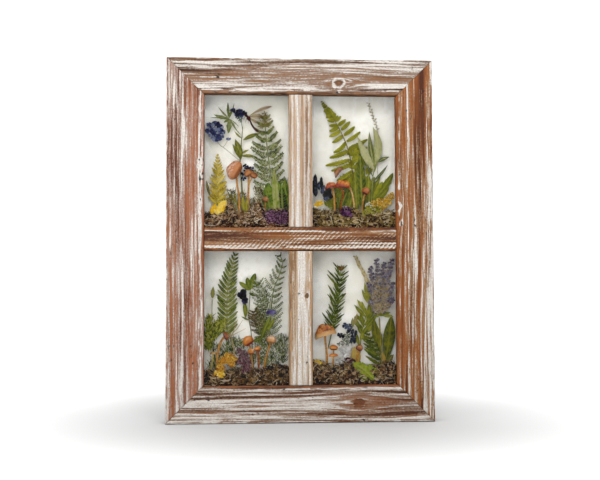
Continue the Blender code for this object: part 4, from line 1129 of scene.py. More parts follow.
class PANEL_OT_castings(bpy.types.Operator):
    """Makes one clear casting for each opening"""
    bl_idname = "botanical_panel.castings"
    bl_label = "Clear castings"

    def execute(self, context):
        material = resin_material()
        for pane in PANES:
            make_piece(pane + "_casting", [clear_block(pane)], [material], "clear_resin",
                pane + "_casting_front", pane + "_casting_back", sharp=30)
        return {"FINISHED"}


# Plants, pane by pane


def xz(*numbers):
    """Points from a row of their x and z, two by two."""
    return np.reshape(np.array(numbers, float), (-1, 2))


def rows(*numbers):
    """A table of leaves as columns: foot and tip as x and z, width, and bend."""
    table = np.reshape(numbers, (-1, 6))
    return table[:, :2], table[:, 2:4], table[:, 4], table[:, 5]


def scattered(centres, radius, count, seed):
    """count points spread evenly over a disc round each centre."""
    centres = np.atleast_2d(np.asarray(centres, float))
    turn = draws(seed, len(centres), count, high=2 * math.pi)
    reach = radius * np.sqrt(draws(seed + 1, len(centres), count))
    around = compass(turn) * reach[..., None]
    return (centres[:, None] + around).reshape(-1, 2)


def tangle(centres, radius, count, seed, length, turn):
    """Feet and tips of count short leaves round each centre, in lengths and headings drawn evenly."""
    feet = scattered(centres, radius, count, seed)
    angle = draws(seed + 2, len(feet), low=turn[0], high=turn[1])
    reach = draws(seed + 3, len(feet), 1, low=length[0], high=length[1])
    return feet, feet + reach * compass(angle)


def seed_spike(stalk, start, count, size, depth, seed, width=0.5, spread=0.45):
    """A grass head: small pointed seeds that leave a stalk on both sides, nearly along it."""
    shares = np.linspace(start, 0.985, count)
    feet, heading = along_spine(stalk, shares)
    side = np.where(np.arange(count) % 2, 1, -1)
    angle = heading + side * spread * draws(seed, count, low=0.5, high=1.2)
    reach = size * draws(seed + 1, count, low=0.75, high=1.15) * ramp(shares, 1.25, 0.9)
    tips = feet + reach[:, None] * compass(angle)
    return leaves(feet, tips, reach * width, 0, depth + 0.3 * draws(seed + 2, count, low=-1), 7, 6, 0.4,
        0.7, thick=0.3, seed=seed)


def flower_heads(centres, radius, blooms, petal, seed, depth, petals_each=5, **look):
    """Dense heads: many small blossoms over a disc round each centre."""
    places = scattered(centres, radius, blooms, seed)
    return petals(places, petal, petals_each, depth, seed + 7, **look)


class PANEL_OT_moss(bpy.types.Operator):
    """Makes the bed of moss, straw and bark at the foot of each pane"""
    bl_idname = "botanical_panel.moss"
    bl_label = "Moss beds"

    RIDGES = {"ul": xz(-3, 14, 16, 14, 26, 27, 34, 15, 46, 15, 56, 27, 66, 17, 92, 17),
        "ur": xz(-3, 19, 10, 17, 20, 16, 30, 15, 43, 19, 54, 15, 70, 17, 80, 15, 92, 17),
        "ll": xz(-3, 15, 19, 13, 35, 15, 46, 16, 62, 15, 73, 19, 84, 18, 92, 18),
        "lr": xz(-3, 24, 8, 23, 19, 18, 40, 20, 56, 17, 72, 18, 80, 22, 92, 20)}
    STRANDS = {"ul": "1a100c 3c281e 624634 8a684e 62502e be9c7c dec6a8",
        "ur": "1e140c 40301e 685434 8e744c 70622e bea278 dcc69e",
        "ll": "0e0907 261a12 483424 685036 4a3e20 a28260 d4b896",
        "lr": "1a0e0a 3a261c 624632 826248 5e5226 b49470 d8c09c"}

    def execute(self, context):
        count = settings().strand_count
        for k, pane in enumerate(PANES):
            ridge = self.RIDGES[pane]
            strands = self.STRANDS[pane].split()
            mound = leaf_skin(pane + "_moss_mound", " ".join(strands[:3]), mottle=900, roughness=0.85,
                relief=0.8)
            straw = leaf_skin(pane + "_moss_strands", self.STRANDS[pane], mottle=300, blotch=0.5,
                spread=1.15, roughness=0.7)
            bark = leaf_skin(pane + "_moss_flakes", " ".join(strands[:2] + strands[3:6:2]), mottle=500,
                blotch=0.9, spread=1, roughness=0.8)
            parts = [moss_mound(ridge, 30 + 5 * k), litter(ridge, 50 + k, count // 2, (2.6, 9),
                (0.45, 1.1), steps=7), litter(ridge, 60 + k, count // 2, (2, 5), (0.3, 0.6), steps=5,
                over=3.4, low=0.4), litter(ridge, 70 + k, count // 5, (2.5, 6), (1.8, 3.6), flat=0.3,
                material=2), litter(ridge, 80 + k, count // 30, (9, 18), (0.8, 1.5), steps=9, ring=6)]
            plant_piece(pane + "_moss_and_litter", parts, [mound, straw, bark], "moss", pane + "_moss_bed")
        return {"FINISHED"}


class PANEL_OT_ferns(bpy.types.Operator):
    """Makes the fern fronds and the yew sprig"""
    bl_idname = "botanical_panel.ferns"
    bl_label = "Ferns"

    def execute(self, context):
        spine = xz(14.8, 10, 14.6, 30, 14, 55, 13.7, 79.6)
        parts = frond(spine, 15, (11, 14, 13, 10, 6, 1), (11, 14, 13, 10, 6, 1), (56, 40), LAYER[0],
            lobes=4, notch=0.4, steps=25, fill=1.3, seed=101, blunt=0.62, stalk=(2, 0.8), bow=0.02,
            wander=0.1)
        plant_piece("ul_yellow_fern_frond", parts, [leaf_skin("yellow_fern", "887424 ba9e3e d8c06c",
            rib="b09848", mottle=260)], "yellow_leaf", "ul_yellow_fern")

        parts = [stem(xz(46, 34, 45.5, 50, 43.5, 66, 41, 80, 37, 93, 30.5, 107, 24, 118, 10.6, 137), 1.6,
            0.6, LAYER[2], tone=0.1, material=1)]
        parts.append(frond(xz(27, 113, 19, 125, 10.6, 137.5), 11, (8, 6.5, 3.5, 1), (8, 6.5, 3.5, 1),
            (66, 58), LAYER[2], start=0.08, lobes=3, notch=0.2, steps=13, fill=1.6, seed=112, blunt=0.5,
            bow=0.02, wander=0.1)[1])
        table = rows(28.5, 111.5, 19.2, 110.6, 4.6, 0.4, 29.6, 109.4, 19.4, 104.6, 5, 0.6, 32, 105.5, 19.2,
            98.6, 5.2, 0.6, 34.4, 100.5, 22.4, 92.2, 5.4, 0.8, 37.4, 93, 23.8, 81.4, 5.6, 1.8, 40, 83.5,
            19.4, 75.6, 5.8, 0.8, 42, 74, 15, 67.2, 5.8, 0.6, 43, 69, 21, 61.6, 5.6, 0.8, 44, 62, 27, 51,
            5.6, 1, 45, 55, 31, 44, 5, 1, 26, 115.5, 32.2, 121, 4.4, -0.4, 28.8, 111, 37.4, 117.6,
            4.8, -0.4, 32.2, 106, 42.2, 115.4, 5.2, -0.4, 35.2, 100.2, 47.2, 110, 5.4, -0.6, 38, 93.5,
            53.2, 104.4, 5.2, -0.8, 40.2, 86, 61.2, 96.2, 5.6, -0.8, 41.4, 79, 61, 88, 5.6, -0.8, 42.8, 72,
            60, 80, 5.6, -0.8, 44, 65, 60, 71.5, 5.6, -0.6, 44.8, 58.5, 58, 63.5, 5.2, -0.6, 45.6, 52, 58,
            55.5, 5, -0.6)
        depth = LAYER[2] + 0.5 * draws(113, 21, low=-1)
        parts.append(leaves(*table, depth, 37, 8, fullest=0.42, blunt=0.42, lobes=8, notch=0.24, seed=114,
            curl=0.6 * draws(115, len(depth), low=-1)))
        feet, tips = tangle(xz(43, 80, 48, 75, 45, 67, 50, 61, 44, 55, 54, 69, 57, 79, 50, 84, 36, 52, 40,
            47, 60, 70, 62, 60, 66, 44, 58, 50), 3.6, 18, 116, (3, 6.5), (0.4, 2.4))
        parts.append(leaves(feet, tips, 2.2, 0.3, LAYER[3] + 0.4 * draws(118, len(feet)), 7, 6, seed=119))
        skin = leaf_skin("light_fern", "686a16 828226 a09c42", rib="686422", veins=8, mottle=320,
            foot="706e26")
        stalk = leaf_skin("fern_stalk", "5c5622 746c30 8c8448")
        plant_piece("ur_fern_pinnae", parts, [skin, stalk], "fern_green", "ur_fern_frond")
        table = rows(60, 24, 68.5, 56, 7, 0.6, 61, 25, 75, 57, 5, 0.4, 62, 26, 77.5, 50.5, 7, 0.6, 63, 27,
            88.6, 60, 9, -2, 62, 24, 84, 44, 8, -0.8, 60, 22, 79, 36, 7, -0.6, 59, 22, 62, 47, 6, 0.6)
        parts = [leaves(*table, LAYER[3], 33, 8, lobes=6, notch=0.18, blunt=0.7, fullest=0.55, seed=121)]
        plant_piece("ur_fern_leaflets", parts, [leaf_skin("olive_fern", "525c1a 6c7024 929238",
            rib="86823c", veins=8)], "fern_green", "ur_fern_leaf")

        spine = xz(24, 30, 23.9, 73.7, 24, 95, 25.4, 106, 29.1, 123.3, 33, 139)
        parts = frond(spine, 19, (13, 15, 15, 15, 14, 11, 4), (12, 15, 15, 15, 13, 9, 4), (54, 38),
            LAYER[2], lobes=5, notch=0.2, steps=21, fill=0.76, seed=131, fullest=0.4, blunt=0.5, bow=0.03)
        plant_piece("ll_fern_pinnae", parts, [leaf_skin("dark_fern", "36400e 5c6628 949860", rib="808048",
            foot="82823c")], "dark_green", "ll_fern_frond")

        parts = frond(xz(74, 12, 72.4, 27, 68, 41, 60, 54), 8, (18, 21, 18, 13, 6), (6, 6, 6, 4, 2),
            (56, 26), LAYER[0] - 0.4, start=0.14, lobes=4, notch=0.3, steps=17, fill=0.98, seed=141,
            bow=0.03, blunt=0.6)
        plant_piece("lr_fern_leaflets", parts, [leaf_skin("deep_fern", "2a340c 445014 70742c",
            rib="545224", tip="787832")], "dark_green", "lr_fern_leaf")

        spine = xz(17, 36, 22.6, 62, 26, 84, 29.4, 104, 31.6, 124)
        reach = ((15, 16, 17, 17, 18, 17, 12), (12, 14, 15, 15, 13, 11, 8))
        parts = frond(spine, 12, *reach, (42, 42), LAYER[1], fill=0.36, seed=151, blunt=0.4, bow=0.02,
            wander=0.16)
        for k, share in enumerate((0.72, 0.45)):
            parts += frond(spine, 13 - k, [share * r for r in reach[0]], [share * r for r in reach[1]],
                (46 - 12 * k, 36 - 12 * k), LAYER[1] - 0.3 * k - 0.3, fill=0.32, seed=156 + 5 * k,
                blunt=0.4, start=0.24, bow=0.02, wander=0.16)[1:]
        skin = leaf_skin("yew_needles", "2c3810 485420 707840", rib="606434", tip="6c6a3c")
        brown = leaf_skin("yew_tip", "4e3e24 685432 7e6a44")
        parts.append(leaves([(31, 120)] * 5, xz(30, 126, 32, 127, 33.6, 126.6, 35.2, 125, 28.6, 124.6),
            1.8, 0.2, LAYER[1] - 0.8, material=1))
        plant_piece("lr_yew_needles", parts, [skin, brown], "dark_green", "lr_yew_sprig")
        return {"FINISHED"}


class PANEL_OT_sprays(bpy.types.Operator):
    """Makes the two grey, twice-cut sprays"""
    bl_idname = "botanical_panel.sprays"
    bl_label = "Feathery sprays"

    def execute(self, context):
        spine = xz(74.5, 8, 71.6, 45.7, 68.5, 70, 66.6, 86, 65, 102, 63.6, 122)
        parts = feathery(spine, 11, (13, 19, 21, 21, 19, 12, 7), (9, 14, 18, 19, 18, 11, 7), (62, 50),
            LAYER[1], start=0.2, lobules=11, spread=0.28, seed=201, stalk=(1.8, 1), lobe_width=1.8)
        twigs = [stem([(62 - 4 * k, 14), (59 - 2.5 * k, 32), (51.5 + 2.2 * k, 58 - 9 * k)], 0.8, 0.4,
            LAYER[0] - 1, tone=0.95) for k in range(3)]
        heads = xz(63.4, 122, 60.4, 118.6, 66.6, 117.6, 62.6, 113.6, 67.6, 111, 60.6, 108)
        top = flower_heads(heads, 2.4, 4, 3.2, 205, LAYER[1] - 0.6, petals_each=4, width=0.3, scatter=0.8)
        skin = leaf_skin("grey_spray", "323a14 5c6232 96986c")
        olive = leaf_skin("olive_spray", "544822 7a6e3e a89c6c")
        parts += [*twigs, {**top, "material": 1}]
        plant_piece("ul_spray_lobules", parts, [skin, olive], "grey_green", "ul_feathery_spray")
        spine = xz(64, 10, 68, 45, 70.4, 76.7, 73, 98.9, 79, 115, 83, 129.7, 78, 139)
        parts = feathery(spine, 16, (12, 16, 20, 22, 20, 14, 10, 4), (14, 17, 17, 16, 14, 9, 6, 4),
            (56, 44), LAYER[0], lobules=8, spread=0.25, seed=211, stalk=(1.8, 1), lobe_width=1.4)
        grey = feathery(xz(69, 62, 60, 84, 57, 110), 9, (6, 9, 10, 7), (10, 12, 11, 7), (58, 42),
            LAYER[1] + 0.4, lobules=8, seed=231, start=0.1, lobe_width=1.3)
        dry = feathery(xz(68.5, 48, 60, 60, 52.5, 78), 9, (9, 12, 11, 6), (8, 11, 10, 6), (56, 42),
            LAYER[1], lobules=8, seed=221, start=0.1, lobe_width=1.5)
        skin = leaf_skin("dark_spray", "2c3412 545c34 9ca07c")
        brown = leaf_skin("brown_spray", "2c2214 54462e 867658")
        pale = leaf_skin("pale_spray", "464c30 7c8062 babca2")
        parts += [{**part, "material": k} for k, group in ((2, grey), (1, dry)) for part in group]
        plant_piece("ll_spray_lobules", parts, [skin, brown, pale], "grey_green", "ll_feathery_spray")
        return {"FINISHED"}


class PANEL_OT_leaves(bpy.types.Operator):
    """Makes the blades, sprigs and single leaves"""
    bl_idname = "botanical_panel.leaves"
    bl_label = "Blades and sprigs"

    def execute(self, context):
        self.upper_left()
        self.upper_right()
        self.lower_left()
        self.lower_right()
        return {"FINISHED"}

    def upper_left(self):
        heart = (25.8, 117.2)
        tips = xz(14, 130, 24.6, 135, 31.4, 134, 9.6, 121.4, 5, 118, 24.9, 101, 33.6, 104.5, 18, 125, 28,
            128, 20, 113, 36.8, 108)
        widths = (2, 3.4, 1.8, 4.4, 1.5, 6, 2.2, 2, 2.4, 3, 1.2)
        bends = (0.5, 0.4, -0.6, 0.8, -0.3, 0.5, 0.6, 0.2, -0.3, 0.3, 0.5)
        parts = [stem([heart, (31, 108.5), (38.4, 99.5)], 1.3, 0.8, LAYER[1]),
            leaves(heart, tips, widths, bends, LAYER[1] + 0.3 * draws(300, 11, low=-1), 17, 8, fullest=0.5,
            lobes=3, notch=0.2, seed=301)]
        plant_piece("ul_palmate_leaves", parts, [leaf_skin("grey_sprig", "4c542e 686e44 929470",
            rib="828460")], "fern_green", "ul_palmate_sprig")

        spine = xz(42, 8, 39.5, 45, 37.6, 71.2, 38.6, 84, 39.4, 96, 41, 113)
        table = rows(38.4, 73, 32.2, 95.5, 7.4, -0.8, 40.6, 94, 59.4, 101.6, 4.4, 1, 38.4, 77, 56, 76, 3.4,
            0.8, 39, 79.5, 47.6, 84, 2.4, 0.4, 38, 74, 29.2, 90, 4.6, -0.6, 39.4, 96, 31.4, 104, 2, 0.4)
        parts = [stem(spine, 2.2, 0.7, LAYER[2]), leaves(*table, LAYER[2], 16, 8, cup=0.12, seed=310)]
        plant_piece("ul_stem_leaves", parts, [leaf_skin("olive_leaf", "484e1c 62662a 88884e", rib="8a844c",
            veins=6)], "fern_green", "ul_leafy_stem")

        table = rows(69, 8, 67.6, 49, 13, 0.6, 77, 8, 73.4, 64, 7, -0.4, 80.5, 8, 79, 50, 10, -0.5, 84.2,
            8, 86, 53, 10, -0.4, 72, 12, 65.4, 40, 11, 0.4, 83.6, 14, 82, 44, 11, 0.3)
        parts = [leaves(*table, LAYER[0] - np.array((0, 0.7, 0.2, 0, 0.3, 0.5)), 22, 8, fullest=0.46,
            cup=-0.12, blunt=0.6, tone=(0.5, 0.95, 0.4, 0.5, 0.5, 0.1)), stem(xz(80, 14, 79, 34), 1.4, 1,
            LAYER[0] - 1.6, tone=1)]
        plant_piece("ul_blades", parts, [leaf_skin("green_blade", "1c3006 405614 687a32 969860",
            rib="7e8446", veins=11, mottle=260, spread=1)], "dark_green", "ul_broad_blades")
        table = rows(5.6, 34, 1.8, 51, 2.8, 0.4, 41.8, 15.7, 40.7, 35.8, 4.4, 0.4, 43.6, 14, 44.8, 33,
            3.6, -0.4, 62, 15, 50.6, 37, 0.9, 0.2, 57.5, 18, 54, 30, 0.8, 0.2, 34.6, 18, 33, 38, 1.6, 0.4,
            26.6, 14, 29, 42, 1.8, -0.3, 29.4, 14, 33.5, 45, 1.4, 0.4, 36, 24, 21, 43.5, 1.2, 0.6, 31, 16,
            25, 38, 1.4, 0.4)
        plant_piece("ul_loose_leaves", [leaves(*table, 7.6, 12, 6, tone=(0.1, 0.35, 0.3, 1, 1, 0.4, 0.1,
            0.2, 0.1, 0.1))], [leaf_skin("young_leaf", "544e1e 7e7828 9e9254 d0c6a4", rib="968c54",
            spread=1.2, blotch=0.8)], "yellow_leaf")
        feet, tips = tangle(xz(29, 20, 24, 25, 30, 29, 28, 36, 38, 25, 41, 33, 45, 22, 50, 26, 57, 28, 53,
            20, 60, 33, 56, 39, 20, 20), 4.4, 46, 320, (2, 5.4), (0.4, 2.8))
        tuft = leaves(feet, tips, 0.7, 0.4, 8.8 + 2.5 * draws(324, len(feet)), 6, 5, seed=325)
        plant_piece("ul_loose_tufts", [tuft], [leaf_skin("grey_tuft", "241c14 484422 706242 aca086",
            spread=1.1)], "moss")

    def upper_right(self):
        table = rows(68, 62, 49.4, 99.4, 8.2, 1.2, 68.4, 63, 62.6, 104.6, 6, 1, 69.4, 69, 66.4, 110,
            9, -4.2, 70.8, 71, 84.6, 77.2, 4, 0.6, 66.2, 50.5, 82.8, 69, 3, -1.2, 66.6, 55, 54, 81.6, 2.6,
            0.6, 68, 60, 72, 86, 4, 0.5)
        parts = [stem(xz(64, 8, 66, 51.6, 68.6, 66, 70, 72), 1.5, 1.1, LAYER[0]),
            leaves(*table, LAYER[0] - np.array((0.4, 0, 0.2, 0, 0, 0.5, 0.1)), 20, 8, cup=0.15,
            tone=(0.85, 0.25, 0.8, 0.15, 0.05, 0, 0.5))]
        plant_piece("ur_lance_blades", parts, [leaf_skin("pale_lance", "3a4616 60662c 888a56 acaa80",
            rib="a6a270", veins=9, spread=1.1, blotch=0.9)], "fern_green", "ur_lance_leaves")
        table = rows(56.4, 8, 52.6, 83, 10.5, 0.8, 61.5, 8, 61.4, 60, 9, -0.8, 49.5, 8, 47, 60, 9, 0.4, 29,
            14, 40, 42, 9, 0.8, 37, 12, 47, 46, 9, -0.6, 20, 12, 30, 30, 5, 0.6)
        skin = leaf_skin("broad_olive", "3e4a12 5c6220 7c7e38", rib="888642", veins=13, mottle=220)
        feet, tips = tangle(xz(22, 22, 28, 24, 34, 22, 40, 26, 26, 32, 33, 33, 39, 36, 44, 42, 50, 36, 20,
            28, 30, 40), 4.2, 22, 335, (3, 7), (0.5, 2.6))
        parts = [leaves(*table, LAYER[1], 24, 8, fullest=0.55, cup=-0.1, seed=330),
            leaves(feet, tips, 1.8, 0.5, LAYER[2] - 0.6 * draws(338, len(feet)), 7, 6, seed=339)]
        plant_piece("ur_blades", parts, [skin], "dark_green", "ur_broad_blades")
        feet, tips = tangle(xz(59, 15, 64, 18, 61, 20.5, 68, 15.5, 71, 18), 4.2, 70, 340, (2, 3.2),
            (0.2, 2.9))
        moss = leaves(feet, tips, 0.9, 0.3, 3 + 1.4 * draws(343, len(feet)), 6, 5, seed=344)
        skin = leaf_skin("moss_leaf", "545414 807c28 aca454", spread=1)
        white = leaf_skin("white_bit", "c4baaa e0dacc f6f2e8")
        bits = petals(xz(58.6, 24.6, 63.4, 23.4, 66.6, 19.8, 60.8, 26.2), 2.2, 3, 3.6, 345, material=1)
        plant_piece("ur_loose_moss", [moss, bits], [skin, white], "yellow_leaf")

    def lower_left(self):
        masses = xz(3, 52, 4, 60, 5.4, 68, 8, 54, 12, 60, 16, 62, 19.6, 64, 14, 54, 18, 57, 10, 48, 4, 45,
            5, 38)
        feet, tips = tangle(masses, 3.4, 56, 350, (3.4, 8), (0.7, 2.4))
        skin = leaf_skin("fuzzy_blade", "343c06 606812 8e902e bab662", spread=1.2, mottle=700,
            roughness=0.7, relief=0.7)
        parts = [leaves(feet, tips, 0.9, 0.5, LAYER[1] - 1.2 * draws(354, len(feet)), 7, 5, seed=355),
            stem(xz(12, 12, 10, 34, 6, 50), 2, 1.6, LAYER[1], tone=0.2)]
        plant_piece("ll_blades", parts, [skin], "fern_green", "ll_side_blades")

        spine = xz(52.5, 10, 49.5, 55, 47, 69.4, 47.6, 84.2, 48.8, 103)
        table = rows(48.6, 100, 54, 118, 6.6, 0.3, 48.6, 100, 45, 113.5, 5.6, 0.2, 48.4, 101, 36.6, 108.8,
            4.8, 0.5, 48.6, 103, 60, 107.6, 4.8, 0.2, 47, 97, 53.6, 93.5, 3.2, 0.3, 46, 68, 57, 76, 1.8,
            0.3, 49, 67.6, 39, 72, 1.8, 0.3, 43.6, 70, 42.2, 87, 5, -0.4, 48.6, 101, 50.4, 110.6, 5, 0.2,
            48.4, 100, 41.6, 103.2, 3, 0.2)
        buds = petals(xz(42.6, 88.6, 40.2, 93.6, 41, 97.6, 38, 95.4), 4.6, 5, LAYER[3] - 1.6, 360, width=1,
            material=1)
        parts = [stem(spine, 1.1, 0.8, LAYER[3]), leaves(*table, LAYER[3] - 0.2, 14, 8, cup=0.1, seed=361,
            blunt=0.7, fullest=0.55), buds]
        skin = leaf_skin("twig_leaf", "364412 546222 808442", rib="7e7a3e", veins=5)
        navy = leaf_skin("navy_petal", "100e16 201e2e 4e4c68")
        plant_piece("ll_twig_and_flowers", parts, [skin, navy], "fern_green", "ll_flowering_twig")

        table = rows(1, 50, 5.1, 34, 2.6, 0.4, 59.5, 47.5, 71.6, 74, 5.4, 0.8, 66, 57, 74.6, 71, 4.2, -0.6,
            62, 50, 49.6, 45.6, 4.4, 0.4, 60, 48, 66, 62, 4.6, 0.4, 8.6, 91, 9.4, 104, 5, 0.2)
        parts = [leaves(*table, LAYER[0] - 0.8, 25, 8, seed=365, thick=0.3, lobes=4, notch=0.14,
            tone=(0.2, 0.2, 0.4, 0, 0.1, 1)), stem(xz(8.2, 60, 8, 76, 8.4, 91), 0.9, 0.7, LAYER[0] - 0.8,
            tone=0.9)]
        plant_piece("ll_loose_leaves", parts, [leaf_skin("young_green", "4c5610 6c7220 8a8654",
            rib="8c8a46", spread=1, blotch=0.9)], "yellow_leaf")
        parts = [stem(xz(32.1, 10, 32.1, 29.6, 30.4, 42.2, 28.4, 50.5), 1.5, 1.2, 7.4),
            stem(xz(28.4, 50.5, 31.4, 58, 35.4, 69.3), 1.1, 0.5, 7.4), stem(xz(28.4, 50.5, 27, 53, 28.4,
            55.8), 1.6, 1, 7.4), stem(xz(30.2, 55, 35.2, 60, 40.6, 68.5), 0.9, 0.4, 7.4),
            stem(xz(29, 52, 37, 56, 44, 59.5), 0.8, 0.4, 7.4), stem(xz(6, 9, 10, 4.4, 14.4, 2.4), 1.3, 0.9,
            2.4)]
        chips = litter(xz(60, 2, 88, 2), 366, 6, (3, 5), (1.8, 3), flat=0.3)
        plant_piece("ll_loose_twigs", [*parts, {**chips, "material": 0}],
            [leaf_skin("pale_twig", "967a4e b69a6c d8c49c")], "straw")
        feet, tips = tangle(xz(21, 36, 26, 38, 31, 42, 18, 28, 25, 30, 33, 33, 36, 44, 28, 46, 8, 20, 12,
            26, 80, 30, 78, 38, 83, 26, 72, 30, 66, 24, 84, 36, 74, 22, 62, 34, 84, 46, 41, 40, 44, 30, 54,
            30, 60, 24, 50, 22, 57, 42, 64, 42, 12, 38, 37, 24, 15, 20, 30, 20), 4.6, 36, 367, (2.6, 6.4),
            (0.6, 2.6))
        tuft = leaves(feet, tips, 0.8, 0.4, 8.8 + 2.5 * draws(370, len(feet)), 6, 5, seed=371)
        plant_piece("ll_loose_tufts", [tuft], [leaf_skin("green_tuft", "1a2008 3c4614 687038 aaac86",
            spread=1.1)], "moss")

    def lower_right(self):
        spine = xz(50, 8, 52.5, 46.6, 55.4, 62.5, 59.8, 78.4, 62, 93)
        table = rows(62.4, 88, 56.6, 108.6, 4.4, 0.6, 62, 84, 53.6, 101, 3.8, 0.4, 62.4, 86, 63.6, 104,
            3.8, -0.3, 59.6, 76, 48.6, 90, 4.4, 0.6, 58, 71, 45.4, 84.4, 4.2, 0.5, 58.6, 73, 53.6, 88, 3.8,
            0.4, 56.4, 64, 47.6, 74, 3.8, 0.4, 55, 59, 46.8, 65.4, 3.6, 0.4, 60.4, 77, 66, 91, 4.2, -0.3,
            58.4, 68, 67, 77.6, 4.4, -0.4, 56.4, 62, 64, 70, 4.2, -0.3, 53.6, 51, 61.5, 63.5, 5, -0.3,
            53.4, 52, 49.6, 66, 4.6, 0.3, 52, 46, 56.6, 57, 4.4, 0.2, 57, 58, 71, 76, 5, -0.6, 55, 54, 69,
            64, 5, -0.6, 59, 66, 64, 84, 4.4, 0.3, 56, 60, 52, 76, 4.4, 0.3, 53, 48, 60, 48, 4, 0.3, 61,
            80, 70, 88, 3.8, 0.3, 50.8, 40, 47, 56, 4, 0.3, 52.6, 56, 45.4, 72, 4.2, 0.3)
        parts = [stem(spine, 1.4, 0.8, LAYER[2]), leaves(*table, LAYER[2] - 0.2, 14, 8, cup=0.1, seed=370)]
        plant_piece("lr_sprig_leaves", parts, [leaf_skin("olive_sprig", "4c540e 6a6e1c 949046",
            rib="8e8840")], "fern_green", "lr_olive_sprig")

        table = rows(75.6, 10, 85.6, 73.5, 13, -1.2, 73.4, 30, 66.4, 70, 8, 1, 74, 30, 71, 60, 8, 0.5, 77,
            40, 87.6, 63, 4, -0.4)
        skin = leaf_skin("deep_blade", "282e04 4e540c 7c7622", rib="7a742e", veins=12, mottle=240)
        parts = [leaves(*table, LAYER[1], 26, 10, fullest=0.62, cup=-0.1, tone=(0.4, 0.5, 0.8, 0.6))]
        plant_piece("lr_broad_blade", parts, [skin], "dark_green", "lr_broad_leaf")

        parts = []
        for k, (foot, tip, width, bend) in enumerate((((66, 4), (43, 22.8), 12, -2),
                ((64, 3.6), (52, 22.2), 11, 0.3), ((64, 3.6), (60.6, 21.4), 10, 0.3),
                ((63, 3.8), (67.6, 17.4), 9, 0.8), ((62, 3.8), (49.6, 11), 9, 0.8))):
            parts.append(leaves(foot, tip, width, bend, IN_FRONT + 0.2 * k, 41, 10, fullest=0.6, lobes=5,
                notch=0.25, blunt=0.6, thick=0.2, curl=-0.5, seed=380 + k))
        plant_piece("lr_scalloped_leaf", parts, [leaf_skin("scalloped_leaf", "364c06 586c14 869038",
            rib="92964c", veins=7)], "fern_green", "lr_lobed_leaf")
        table = rows(48, 20, 45, 40, 9, 0.6, 50, 22, 49.6, 37, 5, 0.2, 81, 22, 87.6, 31, 6, 0.8, 46, 62,
            48.6, 75, 4, 0.4, 44, 60, 43.6, 70.6, 3.6, 0.4, 78, 22, 76, 34, 3.6, 0.5)
        plant_piece("lr_loose_leaves", [leaves(*table, 8.6, 14, 6, tone=(0.9, 0.8, 0.1, 0.4, 0.35, 0.7))],
            [leaf_skin("tan_leaf", "545c18 707454 967638 b69452", rib="a0844c", veins=5, spread=1.2,
            blotch=0.6)], "straw")
        arc = [stem(points, 2.6, 1.6, 5, tone=tone) for points, tone in ((xz(34.6, 25, 37.4, 27.4, 41,
            26.8), 0.2), (xz(40.6, 22.6, 44, 25.4, 46.6, 22.6), 0.1), (xz(37, 22.4, 40, 24, 43, 27.6),
            0.4))]
        plant_piece("lr_loose_bark", arc, [leaf_skin("bark_bit", "2c120e 542a20 805442")], "moss")


class PANEL_OT_grasses(bpy.types.Operator):
    """Makes the two grass spikes"""
    bl_idname = "botanical_panel.grasses"
    bl_label = "Grass spikes"

    def execute(self, context):
        stalk = xz(70, 8, 71.7, 60, 72, 99.2, 70.6, 112, 67.6, 121, 61.2, 137.5)
        parts = [stem(stalk, 1, 0.4, LAYER[4], steps=30, tone=0.7), seed_spike(stalk, 0.7, 22, 2.8,
            LAYER[4], 401, width=0.5, spread=1.1)]
        plant_piece("ur_grass_seeds", parts, [leaf_skin("straw_grass", "968868 baac88 d6caaa")], "straw",
            "ur_grass_spike")
        stalk = xz(66, 60, 63.5, 88, 60.2, 108.3, 53.6, 122.2, 46.6, 136.4)
        parts = [stem(stalk, 0.9, 0.5, LAYER[4], steps=30, tone=0.9), seed_spike(stalk, 0.46, 44, 3.6,
            LAYER[4], 411, width=0.6, spread=0.8)]
        plant_piece("lr_grass_seeds", parts, [leaf_skin("tan_grass", "8c7648 bca676 e0cea4", mottle=1500)],
            "straw", "lr_grass_spike")
        return {"FINISHED"}


